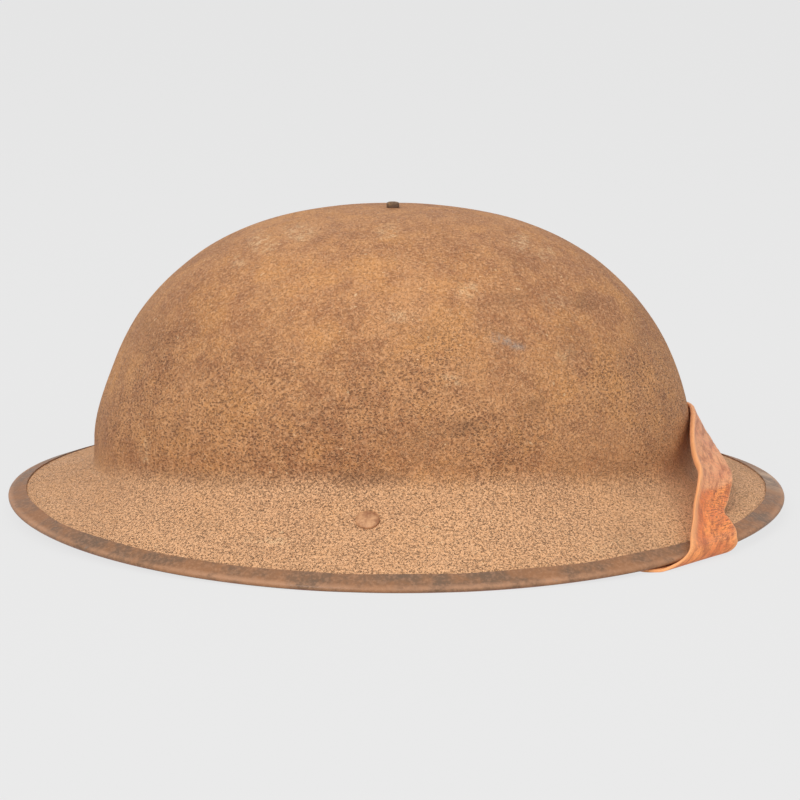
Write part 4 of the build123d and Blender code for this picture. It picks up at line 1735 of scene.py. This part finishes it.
@dataclass
class ChinStrap:
    """The leather strap from bail to bail, over the rim on both sides and across the front.

    A row of near_fold is a turn round the rim and the azimuths of the strap's two edges there,
    all in degrees. A row of near_guides is the pixel and the depth Y of its inner edge, and of
    its outer edge.
    """

    near: Bail
    far: Bail
    width: float = 20.0
    thickness: float = 1.8
    skived: float = 1.5
    pressed: float = 1.2
    rim_gap: float = 0.85
    rest_gap: float = 0.03
    turned_end: float = 15.0
    settle: float = 9.0
    clear_angle: float = 34.2
    far_angle: float = 45.3
    lean: float = 4.0
    fold_reach: float = 8.0
    run: float = 52.0
    run_fall: float = 10.0
    bar_place: float = 26.0
    bar_radius: float = 0.8
    fit: float = 0.3
    close_fit: float = 0.1
    stations: int = 900
    face_steps: int = 15
    fade: float = 14.0
    fade_margin: float = 4.0
    near_fade: float = 26.0
    curl: float = 1.8
    cup: float = 0.7
    crimp: float = 0.25
    crimp_length: float = 7.0
    swell: float = 0.5
    faded_length: float = 70.0
    crease_row: int = 5
    crease_offset: float = 4.0
    crease_slant: float = 5.0
    crease_softness: float = 2.5
    loop_row: int = 13
    loop_cut: float = -1.0
    near_fold: tuple = (
        (-90, 39.0, 53.8),
        (-60, 38.0, 53.0),
        (-30, 37.0, 51.6),
        (0, 36.2, 50.0),
        (30, 35.6, 48.5),
        (60, 35.3, 47.2),
    )
    near_guides: tuple = (
        ((736.0, 530.5, -80.0), (690.0, 541.0, -98.0)),
        ((731.0, 521.5, -75.0), (691.7, 527.0, -90.0)),
        ((724.7, 513.0, -69.5), (692.0, 510.0, -81.0)),
        ((728.5, 500.0, -60.0), (694.8, 492.0, -72.0)),
        ((731.7, 484.0, -50.0), (696.5, 475.0, -63.0)),
        ((731.0, 474.0, -40.5), (691.5, 461.0, -53.0)),
        ((722.0, 457.0, -27.0), (688.5, 443.0, -41.0)),
        ((714.0, 446.5, -14.0), (688.3, 427.0, -28.0)),
    )
    front_guide: tuple = ((706.0, 436.5, 0.0), (690.0, 404.5, 0.0))
    far_drop: float = 2.0
    far_draw: float = 1.4
    far_ease: float = 42.0

    def along_run(self, bail: Bail, fall: float, rows: list[tuple[float, float, float]]) -> list[Section]:
        """Sections of the straight run or of a turn, in the frame of the bail's front leg.

        Args:
            bail: the bail that carries the run.
            fall: degrees by which the run falls below the hinge's direction.
            rows: distance from the leg, height above it, and the section's lean in degrees.

        Returns:
            The sections.
        """
        origin, forward, legs, up = bail.strap_frame(fall)
        outward = legs if legs[1] * bail.side.value > 0 else -legs
        half = outward * self.width / 2
        sections = []
        for x, z, lean in rows:
            turn = math.radians(lean)
            normal = -forward * math.sin(turn) + up * math.cos(turn)
            middle = origin + forward * x + up * z
            sections.append(Section(middle - half, middle + half, normal, self.skived))
        return sections

    @staticmethod
    def round_turn(x: float, z: float, radius: float, turns: range, lean: float) -> list[tuple]:
        """Rows of a run that lie on a circle.

        Args:
            x, z: the circle's middle.
            radius: its radius.
            turns: degrees round it.
            lean: what is added to a turn for the section's lean.

        Returns:
            The rows.
        """
        rows = []
        for turn in turns:
            angle = math.radians(turn)
            rows.append((x + radius * math.cos(angle), z + radius * math.sin(angle), turn + lean))
        return rows

    def near_leg(self) -> list[Section]:
        """The turned-back end, the turn round the near bail's leg and the start of the run.

        Returns:
            The sections.
        """
        around = self.near.wire + self.close_fit + self.skived / 2
        upper = self.skived / 2 + self.close_fit / 2
        lower = -upper - (self.thickness - self.skived) / 2
        rows = [(self.turned_end, upper, 0), (self.settle, upper, 0)]
        rows += self.round_turn(0, 0, around, range(70, 291, 20), -90)
        rows += [(self.settle, lower, 180), (self.turned_end, lower, 180)]
        return self.along_run(self.near, 0, rows)

    def far_leg(self) -> list[Section]:
        """The run through the buckle, round the far leg, and back to the buckle's middle bar.

        Returns:
            The sections.
        """
        step = (self.thickness + self.skived) / 2 + self.fit
        around = self.far.wire + self.close_fit + self.skived / 2
        wrap = self.bar_radius + self.close_fit + self.skived / 2
        joined_at = -step / 2 - self.skived - self.close_fit
        rows = [(self.run, step / 2, 180), (self.settle, step / 2, 180)]
        rows += self.round_turn(0, 0, around, range(75, 286, 21), 90)
        rows += [(self.settle, -step / 2, 0)]
        rows += self.round_turn(self.bar_place, -step / 2 - wrap, wrap, range(80, -91, -17), -90)
        rows += [(self.bar_place - back, joined_at, 180) for back in (self.settle, self.turned_end)]
        return self.along_run(self.far, self.run_fall, rows)

    def rim_fold(self, side: Side) -> list[Section]:
        """The fold over the rim, from under the brim to above it; the near one lies askew.

        Args:
            side: the helmet's side.

        Returns:
            The sections.
        """
        radius = FORM.edge + self.rim_gap + self.pressed / 2
        clear, far = self.clear_angle, self.far_angle
        if side is Side.NEAR:
            first = self.near_fold[0]
            places = [(self.fold_reach, -90, first[1] + self.lean, first[2] + self.lean)]
            places += [(0.0, *row) for row in self.near_fold]
        else:
            places = [(self.fold_reach, -90, clear + self.lean, far + self.lean)]
            places += [(0.0, turn, clear, far) for turn in range(-90, 91, 20)]
            places += [(self.fold_reach, 90, clear - self.lean, far - self.lean)]
        sections = []
        for inward, turn, *spread in places:
            out = radius * math.cos(math.radians(turn))
            up = radius * math.sin(math.radians(turn))
            angles = [side.value * math.radians(a) for a in spread]
            edges = [FORM.rim_spot(inward - out, up, a) for a in angles]
            for edge in edges:
                edge[2] = max(edge[2], self.pressed / 2 + self.rest_gap)
            cores = [FORM.rim_spot(inward, 0.0, a) for a in angles]
            normal = edges[0] + edges[1] - cores[0] - cores[1]
            sections.append(Section(edges[0], edges[1], normal, self.pressed))
        return sections

    def across_front(self) -> list[Section]:
        """The free stretch over the brim's front: both edges of the strap in the photograph.

        The far half mirrors the near half, drawn in a little, since it lies slacker there.

        Returns:
            The sections.
        """
        rows = [tuple(VIEW.spot(*guide) for guide in pair) for pair in self.near_guides]
        front = tuple(VIEW.spot(*guide) for guide in self.front_guide)
        far = []
        for inner, outer in rows[::-1]:
            pair = []
            for point, middle in ((inner, front[0]), (outer, front[1])):
                eased = min(abs(point[1]) / self.far_ease, 1.0)
                point = point * np.array([1, -1, 1]) - np.array([self.far_draw, 0, self.far_drop]) * eased
                point[0] = min(point[0], middle[0])
                pair.append(point)
            far.append(tuple(pair))
        sections = []
        for inner, outer in rows + [front] + far:
            across = outer - inner
            normal = np.cross(across, [0, 1.0, 0])
            normal = normal * np.sign(normal[0] + normal[2])
            sections.append(Section(inner, outer, normal, self.thickness))
        return sections

    def sections(self) -> list[Section]:
        """All sections from the near bail to the far buckle."""
        near = self.near_leg() + self.rim_fold(Side.NEAR)
        return near + self.across_front() + self.rim_fold(Side.FAR)[::-1] + self.far_leg()

    def course(self) -> Course:
        """The sections joined by smooth lines.

        Returns:
            The course.
        """
        rows = self.sections()
        stops = (
            np.array([s.inner for s in rows]),
            np.array([s.outer for s in rows]),
            np.array([s.normal / np.linalg.norm(s.normal) for s in rows]),
            np.array([[s.thickness] for s in rows]),
        )
        steps = np.linalg.norm(np.diff((stops[0] + stops[1]) / 2, axis=0), axis=1)
        knots = np.concatenate([[0], np.cumsum(steps)])
        inner, outer, normal, thick = (smooth_path(stop, knots, self.stations) for stop in stops)
        normal /= np.linalg.norm(normal, axis=1)[:, None]
        return Course(inner, outer, normal, thick, np.linspace(0, knots[-1], self.stations), knots)

    def profile(self) -> tuple[np.ndarray, np.ndarray, np.ndarray]:
        """The strip's section: two flat faces and two half round edges.

        Returns:
            Across, up and bulge: shares of the half width, of the half thickness, and of an
            edge's radius.
        """
        flat = np.linspace(-1, 1, self.face_steps)
        level = np.ones(self.face_steps)
        bend = np.radians(np.linspace(90, -90, 7))[1:-1]
        side = np.ones(len(bend))
        across = np.concatenate([flat, side, flat[::-1], -side])
        up = np.concatenate([level, np.sin(bend), -level, np.sin(bend[::-1])])
        bulge = np.concatenate([0 * level, np.cos(bend), 0 * level, -np.cos(bend[::-1])])
        return across[None, :], up[None, :], bulge[None, :]

    @property
    def fold_row(self) -> int:
        """Number of the section where the strap leaves the near rim."""
        return len(self.near_leg()) + len(self.rim_fold(Side.NEAR)) - 2

    @property
    def front_row(self) -> int:
        """Number of the section at the middle of the front."""
        return self.fold_row + 2 + len(self.near_guides)

    def free_stretch(self, course: Course) -> tuple[np.ndarray, np.ndarray]:
        """Where the strap lies free: 1 over the front, and 0 where the bails and rims hold it.

        Args:
            course: the strap's course.

        Returns:
            Columns of shares, of the whole stretch and of its near half alone.
        """
        along = course.along[:, None]
        start, front = course.knots[self.fold_row], course.knots[self.front_row]
        end = course.knots[self.front_row + len(self.near_guides) + 1]
        free = smooth(along, start - self.fade_margin, start + self.fade)
        free = free * (1 - smooth(along, end - self.fade, end + self.fade_margin))
        near_free = free * (1 - smooth(along, (start + end) / 2, end))
        near_free = near_free * (1 - smooth(along, front - self.near_fade, front + self.fade_margin))
        return free, near_free

    def values(self, course: Course, offset: np.ndarray, width: np.ndarray) -> dict[str, np.ndarray]:
        """The leather's values at each point.

        A point's place is its length along the strap and its width across. The edges are raw.
        The free stretch is faded to some way past the front, and wrinkled instead between the
        near rim and a slanting crease.

        Args:
            course: the strap's course.
            offset: how far each point lies from the middle line.
            width: half the strap's width, by row.

        Returns:
            Arrays by name.
        """
        along = course.along[:, None]
        across = self.profile()[0]
        free, near_free = self.free_stretch(course)
        front = course.knots[self.front_row]
        crease = course.knots[self.fold_row + self.crease_row] + self.crease_offset
        crease = crease - self.crease_slant * across
        before = 1 - smooth(along, crease - self.crease_softness, crease + self.crease_softness)
        lower = near_free * before
        ones = np.ones(offset.shape)
        edge = smooth(np.abs(offset) / width, 0.90, 1.0) + near_free * smooth(across, 0.72, 0.92)
        faded = free * (1 - smooth(along, front, front + self.faded_length))
        return {
            "strap": np.stack([along * MM * ones, offset * MM, 0 * offset], axis=-1),
            "edge": np.clip(edge, 0, 1),
            "faded": faded * (1 - lower) * ones,
            "wrinkled": np.clip(lower * smooth(-across, -0.5, 0.6) + 0.25, 0, 1) * ones,
        }

    def surfaces(self) -> list[Surface]:
        """The strap in three lengths: a rounded strip carried along lines through its sections' edges.

        Across the strip its middle line is the straight line between the edges. The free
        stretch is cupped, its upper edge curls outwards, and soft ripples cross it. It is cut
        square at the front and under the buckle, where its lengths move apart.

        Returns:
            The near length, the far one and the sewn loop.
        """
        course = self.course()
        free, near_free = self.free_stretch(course)
        across, up, bulge = self.profile()
        half = (course.outer - course.inner) / 2
        width = np.linalg.norm(half, axis=1)[:, None]
        round_edge = course.thick / 2
        offset = across * (width - round_edge) + bulge * round_edge
        middle = (course.inner + course.outer) / 2
        centre = middle[:, None, :] + offset[..., None] * (half / width)[:, None, :]
        curl = near_free * (self.curl * smooth(across, 0.55, 1.0) - self.cup * (1 - across**2))
        waves = np.sin(course.along[:, None] / self.crimp_length)
        curl = curl + self.crimp * free * smooth(-across, 0.6, 1.0) * waves
        swell = 1 + self.swell * near_free * smooth(across, 0.75, 0.95)
        uneven = free * (0.14 * ripple(centre, 11.0, 41) + 0.07 * ripple(centre, 3.5, 42))
        raised = up * round_edge * swell + curl + uneven
        grid = centre + raised[..., None] * course.normal[:, None, :]
        values = self.values(course, offset, width)
        loop = course.knots[len(course.knots) - len(self.far_leg()) + self.loop_row] + self.loop_cut
        front = course.knots[self.front_row]
        cuts = [0, *np.searchsorted(course.along, [front, loop]), self.stations - 1]
        spans = [slice(first, last + 1) for first, last in zip(cuts, cuts[1:])]
        return [rodded(grid[span], {k: v[span] for k, v in values.items()}) for span in spans]

    def build(self, finishes: Finishes) -> None:
        """Makes the strap's lengths, which bend from the helmet to each bail and to the buckle.

        A length stays with the helmet up to one distance forward of the bail's leg, and goes
        with the other body from a second distance on.

        Args:
            finishes: the helmet's finishes.
        """
        lengths = (
            ("near", self.near, 0.0, NEAR_BODY, 60.0, 8.0),
            ("far", self.far, self.run_fall, FAR_BODY, 11.0, 2.0),
            ("loop", self.far, self.run_fall, BUCKLE_BODY, 9.5, 24.5),
        )
        for surface, (name, bail, fall, body, begins, ends) in zip(self.surfaces(), lengths):
            piece = add_piece(
                f"strap_{name}", surface, None, finishes.leather, ("chin_strap",), 50.0
            )
            origin, forward, _, _ = bail.strap_frame(fall)
            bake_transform(piece)


def dress(nodes: dict[str, bpy.types.Material]) -> None:
    """Gives CAD nodes that stay in view their finishes.

    Args:
        nodes: finishes by node name.
    """
    for name, material in nodes.items():
        node = frame["nodes"][name]
        if not node.material_slots:
            node.data.materials.append(material)
        for slot in node.material_slots:
            slot.link = "OBJECT"
            slot.material = material


@dataclass(frozen=True)
class Studio:
    """A pale floor, a pale surround and soft light."""

    floor_size: float = 14.0
    pale: float = 0.807
    surround: float = 0.55
    matt: float = 0.07
    glow: float = 0.744
    aim_height: float = 0.06

    def seen(self, tree: bpy.types.NodeTree) -> Socket:
        """A socket that is 1 where the camera, gloss or glass looks, and 0 for light that falls.

        Args:
            tree: the tree that gets the nodes.

        Returns:
            The socket.
        """
        path = tree.nodes.new("ShaderNodeLightPath")
        seen = path.outputs["Is Camera Ray"]
        for ray in ("Is Glossy Ray", "Is Transmission Ray"):
            either = tree.nodes.new("ShaderNodeMath")
            either.operation = "MAXIMUM"
            tree.links.new(seen, either.inputs[0])
            tree.links.new(path.outputs[ray], either.inputs[1])
            seen = either.outputs[0]
        return seen

    def material(self) -> bpy.types.Material:
        """The floor: a matt pale sheet, shown plain and bright with a faint shadow where it is seen.

        Returns:
            The material.
        """
        material = bpy.data.materials.new("floor")
        material.use_nodes = True
        tree = material.node_tree
        shown = tree.nodes["Principled BSDF"]
        shown.inputs["Base Color"].default_value = (self.matt, self.matt, self.matt, 1)
        shown.inputs["Emission Color"].default_value = (1, 1, 1, 1)
        shown.inputs["Emission Strength"].default_value = self.glow
        shown.inputs["Roughness"].default_value = 1.0
        shown.inputs["Specular IOR Level"].default_value = 0.0
        sheet = tree.nodes.new("ShaderNodeBsdfDiffuse")
        sheet.inputs["Color"].default_value = (self.pale, self.pale, self.pale, 1)
        either = tree.nodes.new("ShaderNodeMixShader")
        tree.links.new(self.seen(tree), either.inputs["Fac"])
        tree.links.new(sheet.outputs[0], either.inputs[1])
        tree.links.new(shown.outputs[0], either.inputs[2])
        tree.links.new(either.outputs[0], tree.nodes["Material Output"].inputs["Surface"])
        return material

    def build(self) -> None:
        """Makes the floor, the world and the lamps."""
        half = self.floor_size / 2
        data = bpy.data.meshes.new("floor")
        corners = [(-half, -half, 0), (half, -half, 0), (half, half, 0), (-half, half, 0)]
        data.from_pydata(corners, [], [(0, 1, 2, 3)])
        data.materials.append(self.material())
        floor = bpy.data.objects.new("floor", data)
        bpy.context.scene.collection.objects.link(floor)
        self.world()
        self.lamp("key", (-0.6, -1.6, 1.25), 1.3, 23.0)
        self.lamp("fill", (1.4, -0.9, 0.8), 1.2, 5.5)
        self.lamp("top", (0.0, 0.3, 1.7), 1.4, 4.2)

    def lamp(self, name: str, place: tuple, size: float, power: float) -> None:
        """Makes a round lamp that looks at the helmet's middle.

        Args:
            name: its name.
            place: where it stands, in metres.
            size: its diameter.
            power: its power in watts.
        """
        light = bpy.data.lights.new(name, "AREA")
        light.shape = "DISK"
        light.size = size
        light.energy = power
        lamp = bpy.data.objects.new(name, light)
        lamp.location = place
        aim = np.array([0, 0, self.aim_height]) - np.array(place)
        flat = math.hypot(aim[0], aim[1])
        lamp.rotation_euler = (math.atan2(flat, -aim[2]), 0, math.atan2(-aim[0], aim[1]))
        bpy.context.scene.collection.objects.link(lamp)

    def world(self) -> None:
        """A white surround for the camera and in gloss, and a softer one for light."""
        world = bpy.data.worlds.new("world")
        bpy.context.scene.world = world
        world.use_nodes = True
        tree = world.node_tree
        background = tree.nodes["Background"]
        strength = tree.nodes.new("ShaderNodeMapRange")
        strength.inputs["To Min"].default_value = self.surround
        strength.inputs["To Max"].default_value = self.pale
        tree.links.new(self.seen(tree), strength.inputs["Value"])
        tree.links.new(strength.outputs[0], background.inputs["Strength"])
        background.inputs["Color"].default_value = (1, 1, 1, 1)


def main() -> None:
    """Builds the helmet in order and its studio."""
    logging.basicConfig(level=logging.INFO, format="%(message)s")
    finishes = Finishes()
    near = Bail(Side.NEAR, NEAR_BODY, "right_bail_swing", 42.0)
    far = Bail(Side.FAR, FAR_BODY, "left_bail_swing", 164.0)
    Shell().build(finishes)
    RimBinding().build(finishes)
    Rivets().build(finishes)
    Liner().build(finishes)
    near.build(finishes)
    far.build(finishes)
    ChinStrap(near, far).build(finishes)
    dress(
        {
            "crown_washer": finishes.tinned,
            "band_hoop": finishes.tinned,
            "tube_rivets": finishes.tinned,
            "left_rivet_washer": finishes.tinned,
            "right_rivet_washer": finishes.tinned,
            "rubber_tubes": finishes.rubber,
            "left_bracket": finishes.bracket,
            "right_bracket": finishes.bracket,
            "slide_buckle": finishes.brass,
        }
    )
    Studio().build()
    VIEW.make_camera()
    bpy.context.scene.view_settings.view_transform = "Standard"


if __name__ == "__main__":
    main()
